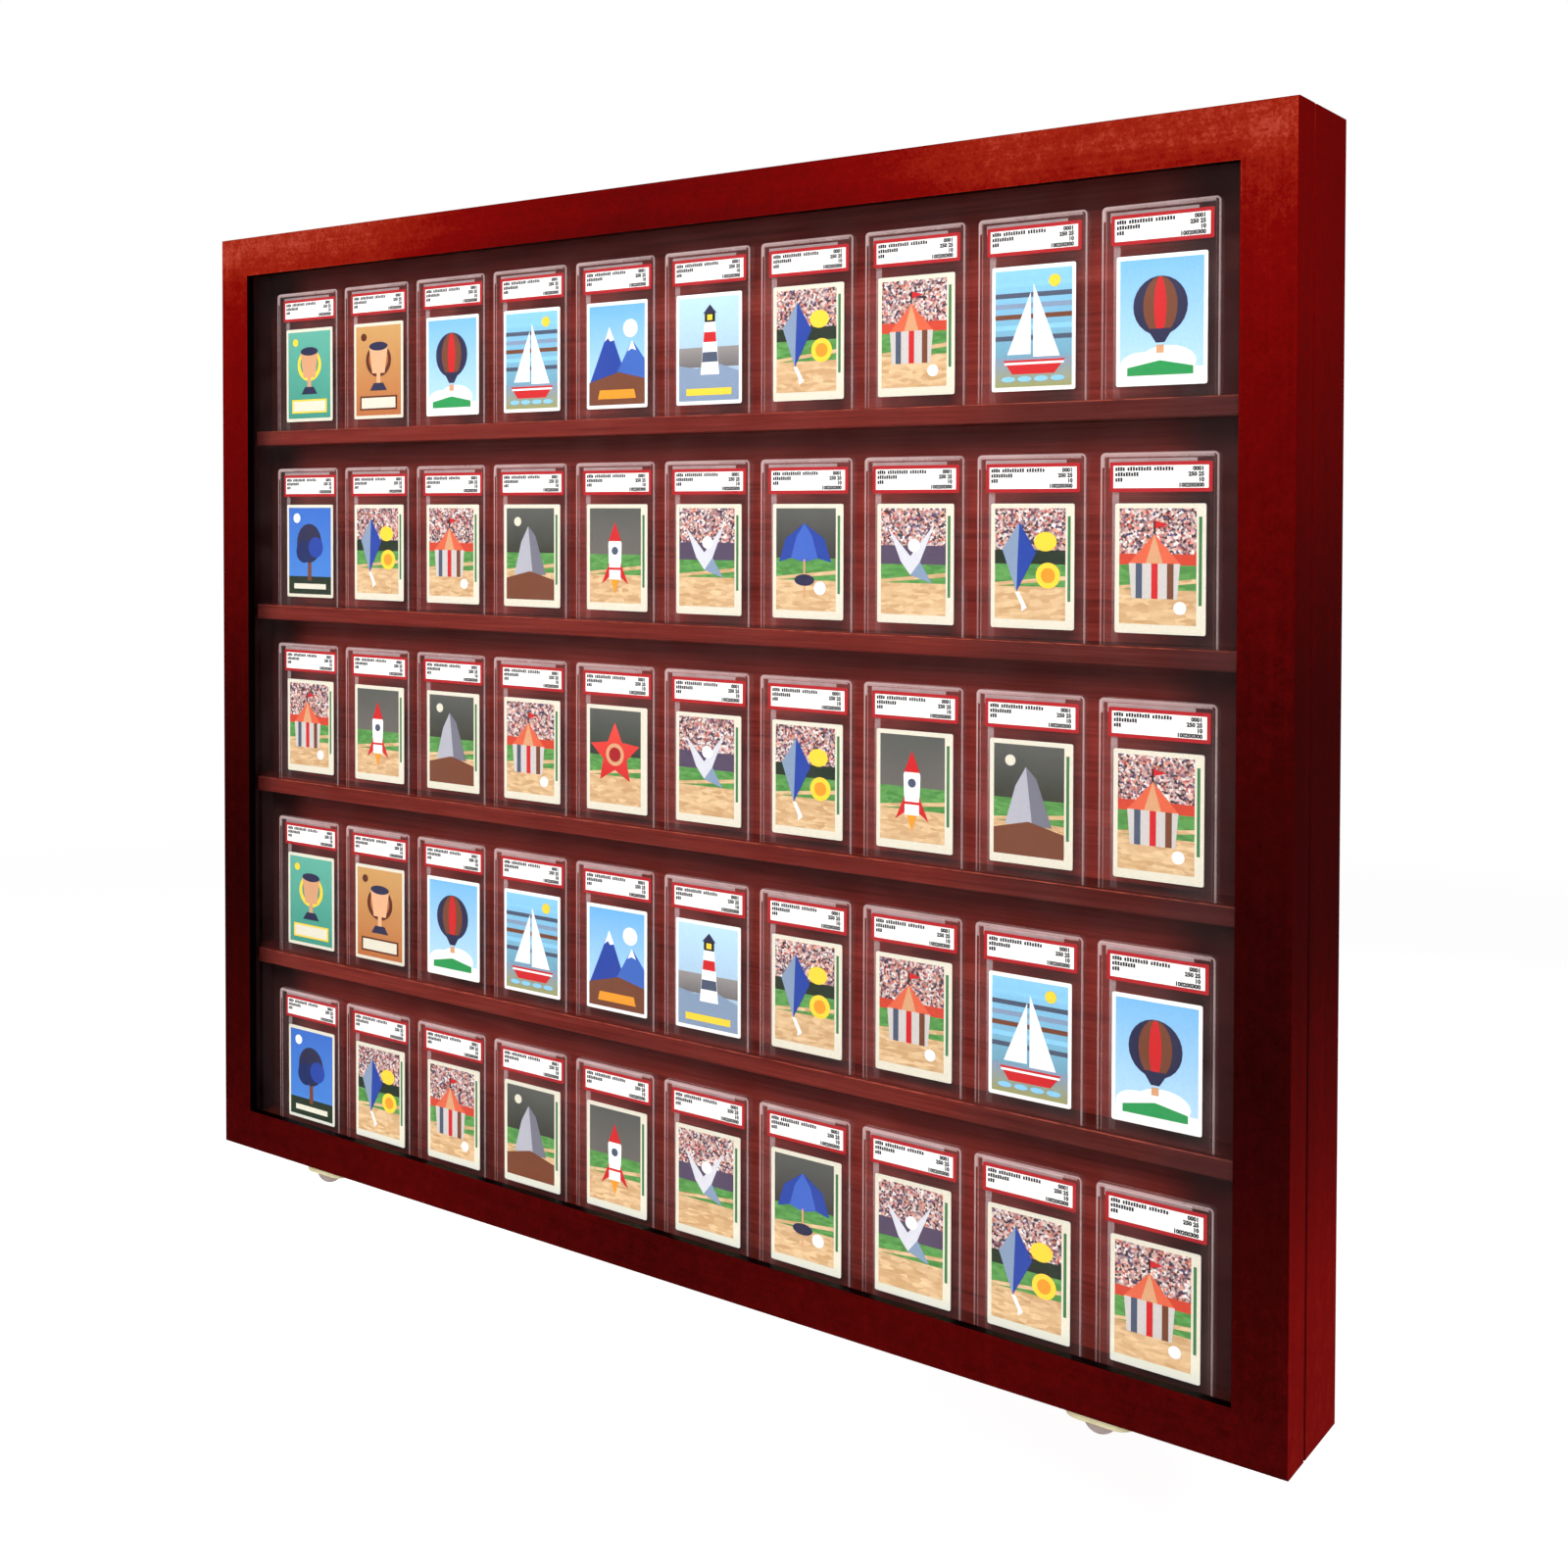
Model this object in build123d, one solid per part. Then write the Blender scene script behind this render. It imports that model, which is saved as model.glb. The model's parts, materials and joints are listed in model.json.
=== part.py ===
"""Wall-hung display case for graded trading cards.

A mitred hardwood case with a back panel, four shelves and a floor board carries five rows of ten card
holders. A mitred door with clear glazing hangs from three butt hinges on the top and is held shut by two cam
locks in its bottom rail. Millimetres. X runs along the width, the front faces -Y and the wall is the plane
Y = 0. The model is built with Z counted from the underside of the case, and is stored with its origin midway
between the two keyholes.
"""
import os
from math import cos, radians, sin

from build123d import *

# Card holders: how many, their outer size and their spacing in the case
columns = 10
rows = 5
slab_width = 83.0
slab_height = 136.5
slab_thickness = 6.5
slab_corner = 3.5
slab_gap = 10.2
slab_rim_width = 3.5
slab_rim_height = 0.8
card_width = 63.5
card_height = 88.9
card_thickness = 0.6
card_drop = 35.0
label_width = 71.6
label_height = 20.6
label_thickness = 0.5
label_drop = 6.5
well_margin = 0.4
well_clearance = 0.1

# Door frame
face_width = 37.0
side_margin = 19.6
top_margin = 17.5
door_depth = 32.5
lip_thickness = 8.0
rebate_wall = 16.5
glazing_thickness = 3.0
glazing_play = 0.5
bead_depth = 4.5
bead_width = 7.0
bead_round = 2.5
edge_round = 1.2

# Case
parting_gap = 1.0
case_depth = 65.5
case_wall = 16.0
rear_recess = 43.0
back_thickness = 6.0
back_groove_depth = 5.0
back_groove_play = 0.5

# Shelves and the floor board
shelf_thickness = 14.0
shelf_headroom = 22.5
floor_thickness = 9.0
shelf_dado_depth = 5.0
groove_depth = 4.0
groove_play = 0.5
groove_end_play = 3.0
groove_setback = 4.5
nose_gap = 1.0
nose_overlap = 5.5
nose_round = 1.5
floor_nose_lift = 2.0

# Butt hinges
hinge_inset = 130.0
hinge_length = 60.0
hinge_leaf_height = 13.0
hinge_leaf_thickness = 1.2
hinge_leaf_gap = 0.3
hinge_knuckles = 5
knuckle_radius = 2.75
knuckle_rise = 0.2
knuckle_gap = 0.3
hinge_pin_radius = 1.3
pin_running_clearance = 0.05
pin_press_clearance = 0.02
hinge_screw_inset = 10.0
hinge_screws_per_leaf = 3

# Cam locks
lock_inset = 132.5
lock_plate_length = 50.0
lock_plate_depth = 24.0
lock_plate_thickness = 6.0
lock_plate_round = 1.0
lock_sleeve_radius = 7.2
lock_sleeve_length = 6.0
lock_sleeve_clearance = 0.1
plug_radius = 5.5
plug_clearance = 0.05
plug_dome_radius = 12.0
plug_dome_height = 9.4
plug_dome_gap = 0.1
plug_tenon = 7.0
key_slot_length = 8.0
key_slot_width = 1.6
key_slot_depth = 6.0
cam_thickness = 3.0
cam_lift = 1.0
cam_hub_radius = 7.5
cam_arm_width = 6.0
cam_hook_thickness = 4.0
cam_hook_angle = 21.0
cam_hole_clearance = 0.05
cam_clearance = 0.9
strike_length = 46.0
strike_height = 13.0
strike_thickness = 1.5
strike_hook_gap = 0.4
strike_pocket_side = 9.5

# Keyhole hangers
hanger_drop = 60.0
hanger_width = 14.0
hanger_height = 52.0
hanger_thickness = 2.0
keyhole_radius = 4.75
keyhole_slot_width = 4.6
keyhole_slot_rise = 12.0
hanger_pocket_depth = 10.0
hanger_screw_inset = 6.5

# Wood screws with countersunk heads
screw_radius = 1.4
screw_head_radius = 2.6
screw_head_height = 1.4
screw_length = 12.0
lock_screw_length = 10.0
screw_slot_width = 0.7
screw_slot_depth = 0.7

# Places that follow from the sizes above
slab_pitch = slab_width + slab_gap
row_width = columns * slab_width + (columns - 1) * slab_gap
case_width = row_width + 2 * (side_margin + face_width)
shelf_pitch = slab_height - groove_depth + shelf_headroom + shelf_thickness
floor_top = case_wall + floor_thickness
slab_above_shelf = slab_height - groove_depth
top_shelf_top = floor_top + (rows - 1) * shelf_pitch
case_height = top_shelf_top + slab_above_shelf + top_margin + face_width
case_front = -case_depth
door_back = case_front - parting_gap
door_front = door_back - door_depth
glazing_front = door_front + lip_thickness
bead_front = glazing_front + glazing_thickness
bead_back = bead_front + bead_depth
nose_front = bead_back + nose_gap
groove_front = nose_front + groove_setback
groove_width = slab_thickness + groove_play
slab_front = groove_front + groove_play / 2
slab_seam = slab_front + slab_thickness / 2
back_panel_rear = -rear_recess
back_panel_front = back_panel_rear - back_thickness
inner_half_width = case_width / 2 - case_wall
sight_half_width = case_width / 2 - face_width
nose_half_width = sight_half_width + nose_overlap
hinge_axis_y = case_front - parting_gap / 2
hinge_axis_z = case_height + knuckle_radius + knuckle_rise
hinge_xs = (-case_width / 2 + hinge_inset, 0.0, case_width / 2 - hinge_inset)
lock_y = door_front + door_depth / 2
lock_xs = {"left": -case_width / 2 + lock_inset, "right": case_width / 2 - lock_inset}
cam_bottom = lock_sleeve_length + cam_lift
cam_top = cam_bottom + cam_thickness
cam_pocket_top = cam_top + cam_clearance
strike_distance = case_front - lock_y
hook_inner_radius = (strike_distance + strike_thickness + strike_hook_gap) / cos(radians(cam_hook_angle))
hook_outer_radius = hook_inner_radius + cam_hook_thickness
keyhole_z = case_height - hanger_drop
hanger_xs = (-case_width / 2 + case_wall / 2, case_width / 2 - case_wall / 2)
shelf_tops = [floor_top + shelf_pitch * (rows - 1 - row) for row in range(rows)]
slab_xs = [-row_width / 2 + slab_width / 2 + slab_pitch * column for column in range(columns)]


def span_box(x_range, y_range, z_range):
    """A box between two values on each axis."""
    ranges = (x_range, y_range, z_range)
    sizes = [high - low for low, high in ranges]
    middle = [(high + low) / 2 for low, high in ranges]
    return Pos(*middle) * Box(*sizes)


def upright_box(width, y_range, z_range, x=0.0):
    """A box centred on x, used for most boards."""
    return span_box((x - width / 2, x + width / 2), y_range, z_range)


def prism(points, y_range):
    """A prism whose outline lies in the X-Z plane."""
    outline = Plane.XZ * Polygon(*points, align=None)
    return Pos(0, y_range[1], 0) * extrude(outline, y_range[1] - y_range[0], dir=(0, -1, 0))


def mitre_wedges(inset, reach, y_range):
    """Four wedges that cut a rectangular ring at its mitres, measured inwards from the case's outline."""
    left, right = -case_width / 2 + inset, case_width / 2 - inset
    low, high = inset, case_height - inset
    corners = {
        "bottom": ((left, low), (right, low), (right - reach, low + reach), (left + reach, low + reach)),
        "top": ((left, high), (right, high), (right - reach, high - reach), (left + reach, high - reach)),
        "left": ((left, low), (left + reach, low + reach), (left + reach, high - reach), (left, high)),
        "right": ((right, low), (right - reach, low + reach), (right - reach, high - reach), (right, high)),
    }
    return {side: prism(points, y_range) for side, points in corners.items()}


def ring(outer_inset, inner_inset, y_range):
    """A rectangular ring between two insets from the case's outline."""
    outer = upright_box(case_width - 2 * outer_inset, y_range, (outer_inset, case_height - outer_inset))
    inner = upright_box(case_width - 2 * inner_inset, y_range, (inner_inset, case_height - inner_inset))
    return outer - inner


def outer_edges(shape, y):
    """The long edges of the outline at one depth."""
    found = []
    for edge in shape.edges():
        middle = edge.center()
        on_side = abs(abs(middle.X) - case_width / 2) < 0.01
        on_end = abs(middle.Z) < 0.01 or abs(middle.Z - case_height) < 0.01
        if abs(middle.Y - y) < 0.01 and (on_side or on_end):
            found.append(edge)
    return found


def screw(length=screw_length, radius=screw_radius):
    """A countersunk screw along +Z with the top of its head at Z = 0 and its point down."""
    head = Pos(0, 0, -screw_head_height / 2) * Cone(radius, screw_head_radius, screw_head_height)
    shank = Pos(0, 0, -length / 2) * Cylinder(radius, length)
    body = head + shank
    for turn in (0, 90):
        slot = Box(2 * screw_radius, screw_slot_width, screw_slot_depth)
        body -= Pos(0, 0, -screw_slot_depth / 2) * Rot(0, 0, turn) * slot
    return body


def screw_hole(length=screw_length, radius=screw_radius):
    """The countersunk hole that a screw fills."""
    head = Pos(0, 0, -screw_head_height / 2) * Cone(radius, screw_head_radius, screw_head_height)
    return head + Pos(0, 0, -length / 2) * Cylinder(radius, length)


def cut_all(body, tools):
    """The body less every tool."""
    for tool in tools:
        body -= tool
    return body


def placed(places, shape):
    """One copy of the shape at each place."""
    return [place * shape for place in places]


# --- Screw places, each with the head's outer face at the origin of the place and the point inwards

leaf_inner_offset = hinge_leaf_gap / 2
hinge_screw_z = case_height - hinge_leaf_height / 2
hinge_screw_span = hinge_length - 2 * hinge_screw_inset
hinge_screw_step = hinge_screw_span / (hinge_screws_per_leaf - 1)
hinge_screw_xs = [
    x - hinge_screw_span / 2 + hinge_screw_step * number
    for x in hinge_xs
    for number in range(hinge_screws_per_leaf)
]
case_hinge_places = [
    Pos(x, hinge_axis_y + leaf_inner_offset, hinge_screw_z) * Rot(90, 0, 0) for x in hinge_screw_xs
]
door_hinge_places = [
    Pos(x, hinge_axis_y - leaf_inner_offset, hinge_screw_z) * Rot(-90, 0, 0) for x in hinge_screw_xs
]
lock_screw_offset = lock_plate_length / 2 - lock_plate_depth / 4
lock_screw_places = [
    Pos(x + side * lock_screw_offset, lock_y, -lock_plate_thickness) * Rot(180, 0, 0)
    for x in lock_xs.values()
    for side in (-1, 1)
]
slot_reach = (hook_outer_radius**2 - strike_distance**2) ** 0.5 + cam_clearance
strike_middle = (slot_reach - strike_pocket_side) / 2
strike_screw_inset = 5.0
strike_screw_offset = strike_length / 2 - strike_screw_inset
strike_screw_places = [
    Pos(x + strike_middle + side * strike_screw_offset, case_front, case_wall / 2) * Rot(90, 0, 0)
    for x in lock_xs.values()
    for side in (-1, 1)
]
hanger_middle_z = keyhole_z + keyhole_slot_rise / 2
hanger_screw_offset = hanger_height / 2 - hanger_screw_inset
hanger_screw_places = [
    Pos(x, 0, hanger_middle_z + side * hanger_screw_offset) * Rot(-90, 0, 0)
    for x in hanger_xs
    for side in (-1, 1)
]


# --- Case

def hinge_mortises(leaf_y_range):
    """The shallow recesses that let the hinge leaves in flush."""
    z_range = (case_height - hinge_leaf_height, case_height + edge_round)
    return [upright_box(hinge_length, leaf_y_range, z_range, x) for x in hinge_xs]


def cam_slots(y_range):
    """The slots that the lock cams swing through, at one depth of the bottom wall or strike plate."""
    z_range = (cam_bottom - cam_clearance, cam_pocket_top)
    low, high = -cam_arm_width / 2 - strike_hook_gap, slot_reach
    return [span_box((x + low, x + high), y_range, z_range) for x in lock_xs.values()]


def case_walls():
    """The four mitred walls, cut for the back panel, shelves, hinges, locks and hangers."""
    y_range = (case_front, 0.0)
    body = ring(0, case_wall, y_range)
    body = fillet(outer_edges(body, case_front) + outer_edges(body, 0.0), edge_round)
    panel_half = inner_half_width + back_groove_depth
    panel_z = (case_wall - back_groove_depth, case_height - case_wall + back_groove_depth)
    body -= upright_box(2 * panel_half, (back_panel_front, back_panel_rear), panel_z)
    dado_width = 2 * (inner_half_width + shelf_dado_depth)
    for top in shelf_tops[:-1]:
        body -= upright_box(dado_width, (case_front, back_panel_front), (top - shelf_thickness, top))
    leaf_back = hinge_axis_y + leaf_inner_offset + hinge_leaf_thickness
    body = cut_all(body, hinge_mortises((case_front, leaf_back)))
    body = cut_all(body, placed(case_hinge_places, screw_hole()))
    body = cut_all(body, strike_recesses())
    body = cut_all(body, placed(strike_screw_places, screw_hole()))
    body = cut_all(body, hanger_recesses())
    body = cut_all(body, placed(hanger_screw_places, screw_hole()))
    wedges = mitre_wedges(0, face_width, y_range)
    return {side: body & wedge for side, wedge in wedges.items()}


def strike_recesses():
    """The seats of the strike plates and the pockets behind them."""
    plate_z = (case_wall / 2 - strike_height / 2, case_wall / 2 + strike_height / 2)
    pocket_back = lock_y + hook_outer_radius + cam_clearance
    pocket_z = (cam_bottom - cam_clearance, cam_pocket_top)
    tools = []
    for x in lock_xs.values():
        seat_y = (case_front, case_front + strike_thickness)
        tools.append(upright_box(strike_length, seat_y, plate_z, x + strike_middle))
        pocket_x = (x - strike_pocket_side, x + slot_reach)
        tools.append(span_box(pocket_x, (case_front, pocket_back), pocket_z))
    return tools


def hanger_recesses():
    """The seats of the keyhole hangers and the pockets for the heads of the wall screws."""
    tools = []
    for x in hanger_xs:
        low = hanger_middle_z - hanger_height / 2
        seat = upright_box(hanger_width, (-hanger_thickness, 0.0), (low, low + hanger_height), x)
        pocket_z = (keyhole_z - keyhole_radius, keyhole_z + keyhole_slot_rise + keyhole_radius)
        pocket = upright_box(2 * keyhole_radius + 0.5, (-hanger_pocket_depth, 0.0), pocket_z, x)
        tools += [seat, pocket]
    return tools


def back_panel():
    """A thin board let into a groove round the four walls."""
    half = inner_half_width + back_groove_depth - back_groove_play
    low = case_wall - back_groove_depth + back_groove_play
    return upright_box(2 * half, (back_panel_front, back_panel_rear), (low, case_height - low))


def slab_groove(top):
    """The groove that holds one row of card holders upright."""
    length = row_width + 2 * groove_end_play
    return upright_box(length, (groove_front, groove_front + groove_width), (top - groove_depth, top))


def round_nose(board, top, bottom):
    """The board with the two long front edges of its nose rounded."""
    picked = []
    for edge in board.edges():
        middle = edge.center()
        at_front = abs(middle.Y - nose_front) < 0.01 and abs(middle.X) < 0.01
        if at_front and min(abs(middle.Z - top), abs(middle.Z - bottom)) < 0.01:
            picked.append(edge)
    return fillet(picked, nose_round)


def shelf(top):
    """A shelf whose ends sit in dadoes and whose narrower nose reaches into the door's recess."""
    z_range = (top - shelf_thickness, top)
    body = upright_box(2 * (inner_half_width + shelf_dado_depth), (case_front, back_panel_front), z_range)
    board = body + upright_box(2 * nose_half_width, (nose_front, case_front), z_range)
    return round_nose(board, *reversed(z_range)) - slab_groove(top)


def floor_board():
    """The board on the bottom wall, with a nose that passes over the door's bottom rail."""
    body = upright_box(2 * inner_half_width, (case_front, back_panel_front), (case_wall, floor_top))
    nose_bottom = case_wall + floor_nose_lift
    nose = upright_box(2 * nose_half_width, (nose_front, case_front), (nose_bottom, floor_top))
    return round_nose(body + nose, floor_top, nose_bottom) - slab_groove(floor_top)


# --- Card holders

def slab_half():
    """One half shell, centred, with its outer face towards -Y and its seam at Y = 0."""
    half = slab_thickness / 2
    face = Plane.XZ * RectangleRounded(slab_width, slab_height, slab_corner)
    shell = extrude(face, half)
    window = Plane.XZ * RectangleRounded(
        slab_width - 2 * slab_rim_width, slab_height - 2 * slab_rim_width, slab_corner / 2
    )
    shell -= Pos(0, -half + slab_rim_height, 0) * extrude(window, slab_rim_height)
    wells = (
        (card_width, card_height, card_drop, card_thickness),
        (label_width, label_height, label_drop, label_thickness),
    )
    for width, height, drop, thickness in wells:
        depth = thickness / 2 + well_clearance
        middle = slab_height / 2 - drop - height / 2
        shell -= Pos(0, -depth / 2, middle) * Box(width + 2 * well_margin, depth, height + 2 * well_margin)
    return shell


def slab_row(top, shape):
    """Ten copies of a holder's piece, standing in the groove of one shelf."""
    middle_z = top - groove_depth + slab_height / 2
    return [Pos(x, slab_seam, middle_z) * shape for x in slab_xs]


def insert(width, height, thickness, drop, corner):
    """A card or a label, centred on the seam of its holder."""
    face = Plane.XZ * RectangleRounded(width, height, corner)
    sheet = extrude(face, thickness / 2, both=True)
    return Pos(0, 0, slab_height / 2 - drop - height / 2) * sheet


# --- Door

def door_frame():
    """The deep mitred rails and stiles of the door, with hinge mortises, lock mortises and screw holes."""
    y_range = (glazing_front, door_back)
    body = ring(0, rebate_wall, y_range)
    body = fillet(outer_edges(body, door_back), edge_round)
    leaf_front = hinge_axis_y - leaf_inner_offset - hinge_leaf_thickness
    body = cut_all(body, hinge_mortises((leaf_front, door_back)))
    body = cut_all(body, placed(door_hinge_places, screw_hole()))
    body = cut_all(body, placed(lock_screw_places, screw_hole(lock_screw_length)))
    body = cut_all(body, lock_mortises())
    wedges = mitre_wedges(0, rebate_wall + 1, y_range)
    return {side: body & wedge for side, wedge in wedges.items()}


def door_face():
    """The mitred face strips on the front of the rails and stiles, whose inner part laps over the glazing."""
    y_range = (door_front, glazing_front)
    body = ring(0, face_width, y_range)
    body = fillet(outer_edges(body, door_front), edge_round)
    wedges = mitre_wedges(0, face_width + 1, y_range)
    return {side: body & wedge for side, wedge in wedges.items()}


def lock_mortises():
    """The bores for the lock sleeves and the pockets in which the cams turn."""
    front_reach = cam_hub_radius + cam_clearance
    tools = []
    for x in lock_xs.values():
        bore = Cylinder(lock_sleeve_radius + lock_sleeve_clearance, lock_sleeve_length)
        tools.append(Pos(x, lock_y, lock_sleeve_length / 2) * bore)
        pocket_x = (x - strike_pocket_side, x + hook_outer_radius + cam_clearance)
        pocket_y = (lock_y - front_reach, door_back)
        tools.append(span_box(pocket_x, pocket_y, (lock_sleeve_length, cam_pocket_top)))
    return tools


def glazing():
    """The clear sheet in the rebate."""
    inset = rebate_wall + glazing_play
    y_range = (glazing_front, bead_front)
    return upright_box(case_width - 2 * inset, y_range, (inset, case_height - inset))


def glazing_beads():
    """The mitred strips that hold the sheet in its rebate, rounded on their inner rear edge."""
    y_range = (bead_front, bead_back)
    body = ring(rebate_wall, rebate_wall + bead_width, y_range)
    inner_half = case_width / 2 - rebate_wall - bead_width
    inner_low = rebate_wall + bead_width
    rounded = []
    for edge in body.edges():
        middle = edge.center()
        at_side = abs(abs(middle.X) - inner_half) < 0.01
        at_end = min(abs(middle.Z - inner_low), abs(middle.Z - case_height + inner_low)) < 0.01
        if abs(middle.Y - bead_back) < 0.01 and (at_side or at_end):
            rounded.append(edge)
    body = fillet(rounded, bead_round)
    wedges = mitre_wedges(rebate_wall, bead_width, y_range)
    return {side: body & wedge for side, wedge in wedges.items()}


# --- Hinges

def hinge_leaf(x, side):
    """One leaf with its knuckles: side 1 is the case's, with the end knuckles, and -1 the door's."""
    near = hinge_axis_y + side * leaf_inner_offset
    far = near + side * hinge_leaf_thickness
    y_range = (min(near, far), max(near, far))
    leaf = upright_box(hinge_length, y_range, (case_height - hinge_leaf_height, case_height), x)
    first = 0 if side == 1 else 1
    step = hinge_length / hinge_knuckles
    for number in range(first, hinge_knuckles, 2):
        middle = x - hinge_length / 2 + step * (number + 0.5)
        length = step - knuckle_gap
        barrel = Pos(middle, hinge_axis_y, hinge_axis_z) * Rot(0, 90, 0) * Cylinder(knuckle_radius, length)
        neck = upright_box(length, y_range, (case_height, hinge_axis_z), middle)
        leaf += barrel + neck
    clearance = pin_press_clearance if side == 1 else pin_running_clearance
    leaf -= hinge_rod(x, hinge_pin_radius + clearance, hinge_length + 2)
    places = case_hinge_places if side == 1 else door_hinge_places
    return cut_all(leaf, placed(places, screw_hole()))


def hinge_rod(x, radius, length):
    """A rod on the hinge axis."""
    return Pos(x, hinge_axis_y, hinge_axis_z) * Rot(0, 90, 0) * Cylinder(radius, length)


# --- Locks

def lock_body(x):
    """The lock's plate with rounded ends and the sleeve that fills the bore of the rail."""
    plate = extrude(SlotOverall(lock_plate_length, lock_plate_depth), -lock_plate_thickness)
    plate = fillet(plate.faces().sort_by(Axis.Z)[0].edges(), lock_plate_round)
    sleeve = Pos(0, 0, lock_sleeve_length / 2) * Cylinder(lock_sleeve_radius, lock_sleeve_length)
    bore = Cylinder(plug_radius + plug_clearance, 4 * lock_sleeve_length)
    body = Pos(x, lock_y, 0) * (plate + sleeve - bore)
    return cut_all(body, placed(lock_screw_places, screw_hole(lock_screw_length)))


def lock_plug(x):
    """The turning plug: a dome with a key slot below the plate, a shank, and a square tenon for the cam."""
    dome_top = -lock_plate_thickness - plug_dome_gap
    sphere_radius = (plug_dome_radius**2 + plug_dome_height**2) / (2 * plug_dome_height)
    ball = Pos(0, 0, dome_top - plug_dome_height + sphere_radius) * Sphere(sphere_radius)
    keep = Pos(0, 0, dome_top - plug_dome_height) * Box(
        4 * plug_dome_radius, 4 * plug_dome_radius, 2 * plug_dome_height
    )
    dome = ball & keep
    key_slot = Box(key_slot_length, key_slot_width, 2 * key_slot_depth)
    key_slot = Pos(0, 0, dome_top - plug_dome_height) * key_slot
    shank_top = cam_bottom
    shank_length = shank_top - dome_top
    shank = Pos(0, 0, dome_top + shank_length / 2) * Cylinder(plug_radius, shank_length)
    tenon = Pos(0, 0, (shank_top + cam_top) / 2) * Box(plug_tenon, plug_tenon, cam_top - shank_top)
    return Pos(x, lock_y, 0) * (dome - key_slot + shank + tenon)


def lock_cam(x):
    """The hooked cam on the plug's tenon. At rest its arm lies along +X, and its hook leads towards +Y."""
    hub = Circle(cam_hub_radius)
    arm = Pos(hook_outer_radius / 2, 0) * Rectangle(hook_outer_radius, cam_arm_width)
    band = Circle(hook_outer_radius) - Circle(hook_inner_radius)
    far = 2 * hook_outer_radius
    tip = (far * cos(radians(cam_hook_angle)), far * sin(radians(cam_hook_angle)))
    sector = Polygon((0, 0), (far, 0), tip, align=None)
    outline = hub + (arm & Circle(hook_outer_radius)) + (band & sector)
    hole = Rectangle(plug_tenon + 2 * cam_hole_clearance, plug_tenon + 2 * cam_hole_clearance)
    return Pos(x, lock_y, cam_bottom) * extrude(outline - hole, cam_thickness)


def strike_plate(x):
    """The slotted plate on the front edge of the bottom wall, which the hook catches from behind."""
    z_range = (case_wall / 2 - strike_height / 2, case_wall / 2 + strike_height / 2)
    y_range = (case_front, case_front + strike_thickness)
    plate = upright_box(strike_length, y_range, z_range, x + strike_middle)
    plate = cut_all(plate, cam_slots(y_range))
    return cut_all(plate, placed(strike_screw_places, screw_hole()))


# --- Hangers

def hanger_plate(x):
    """A keyhole plate, let in flush with the rear edge of the side wall."""
    low = hanger_middle_z - hanger_height / 2
    plate = upright_box(hanger_width, (-hanger_thickness, 0.0), (low, low + hanger_height), x)
    hole = Pos(x, 0, keyhole_z) * Rot(90, 0, 0) * Cylinder(keyhole_radius, 4 * hanger_thickness)
    slot_z = (keyhole_z, keyhole_z + keyhole_slot_rise)
    slot = upright_box(keyhole_slot_width, (-2 * hanger_thickness, hanger_thickness), slot_z, x)
    slot_end = Pos(x, 0, slot_z[1]) * Rot(90, 0, 0) * Cylinder(keyhole_slot_width / 2, 4 * hanger_thickness)
    return cut_all(plate - hole - slot - slot_end, placed(hanger_screw_places, screw_hole()))


def save(name, shapes):
    """Writes one node, moved so that the origin lies midway between the keyholes."""
    solids = shapes if isinstance(shapes, list) else [shapes]
    moved = [Pos(0, 0, -keyhole_z) * solid for solid in solids]
    node = moved[0] if len(moved) == 1 else Compound(children=moved)
    node.label = name
    export_step(node, f"parts/{name}.step")


def main():
    os.makedirs("parts", exist_ok=True)

    for side, wall in case_walls().items():
        save(f"case_{side}", wall)
    save("back_panel", back_panel())
    save("floor_board", floor_board())
    for number, top in enumerate(shelf_tops[:-1], start=1):
        save(f"shelf_{number}", shelf(top))

    front_shell = slab_half()
    back_shell = Rot(0, 0, 180) * front_shell
    card = insert(card_width, card_height, card_thickness, card_drop, 1.5)
    label = insert(label_width, label_height, label_thickness, label_drop, 1.0)
    for number, top in enumerate(shelf_tops, start=1):
        save(f"holder_fronts_row_{number}", slab_row(top, front_shell))
        save(f"holder_backs_row_{number}", slab_row(top, back_shell))
        save(f"cards_row_{number}", slab_row(top, card))
        save(f"labels_row_{number}", slab_row(top, label))

    for side, member in door_frame().items():
        kind = "rail" if side in ("top", "bottom") else "stile"
        save(f"door_{side}_{kind}", member)
    for side, strip in door_face().items():
        save(f"door_face_{side}", strip)
    save("glazing", glazing())
    for side, bead in glazing_beads().items():
        save(f"glazing_bead_{side}", bead)

    save("hinge_case_leaves", [hinge_leaf(x, 1) for x in hinge_xs])
    save("hinge_door_leaves", [hinge_leaf(x, -1) for x in hinge_xs])
    save("hinge_pins", [hinge_rod(x, hinge_pin_radius, hinge_length) for x in hinge_xs])
    save("hinge_screws_case", placed(case_hinge_places, screw()))
    save("hinge_screws_door", placed(door_hinge_places, screw()))

    for side, x in lock_xs.items():
        save(f"lock_{side}_body", lock_body(x))
        save(f"lock_{side}_plug", lock_plug(x))
        save(f"lock_{side}_cam", lock_cam(x))
    save("lock_screws", placed(lock_screw_places, screw(lock_screw_length)))
    save("strike_plates", [strike_plate(x) for x in lock_xs.values()])
    save("strike_screws", placed(strike_screw_places, screw()))
    save("keyhole_hangers", [hanger_plate(x) for x in hanger_xs])
    save("hanger_screws", placed(hanger_screw_places, screw()))


main()
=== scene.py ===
"""Looks for the trading card display case: stained wood, clear card holders, printed cards, light and camera.

Metres in the row frame: X along the width, -Y to the front, +Z up. Card holders, cards and labels are drawn
in millimetres from their own bottom left corner.
Card and label prints are generic designs of this script's own; the only lettering is plain digits.
"""
import json
import math

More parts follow.
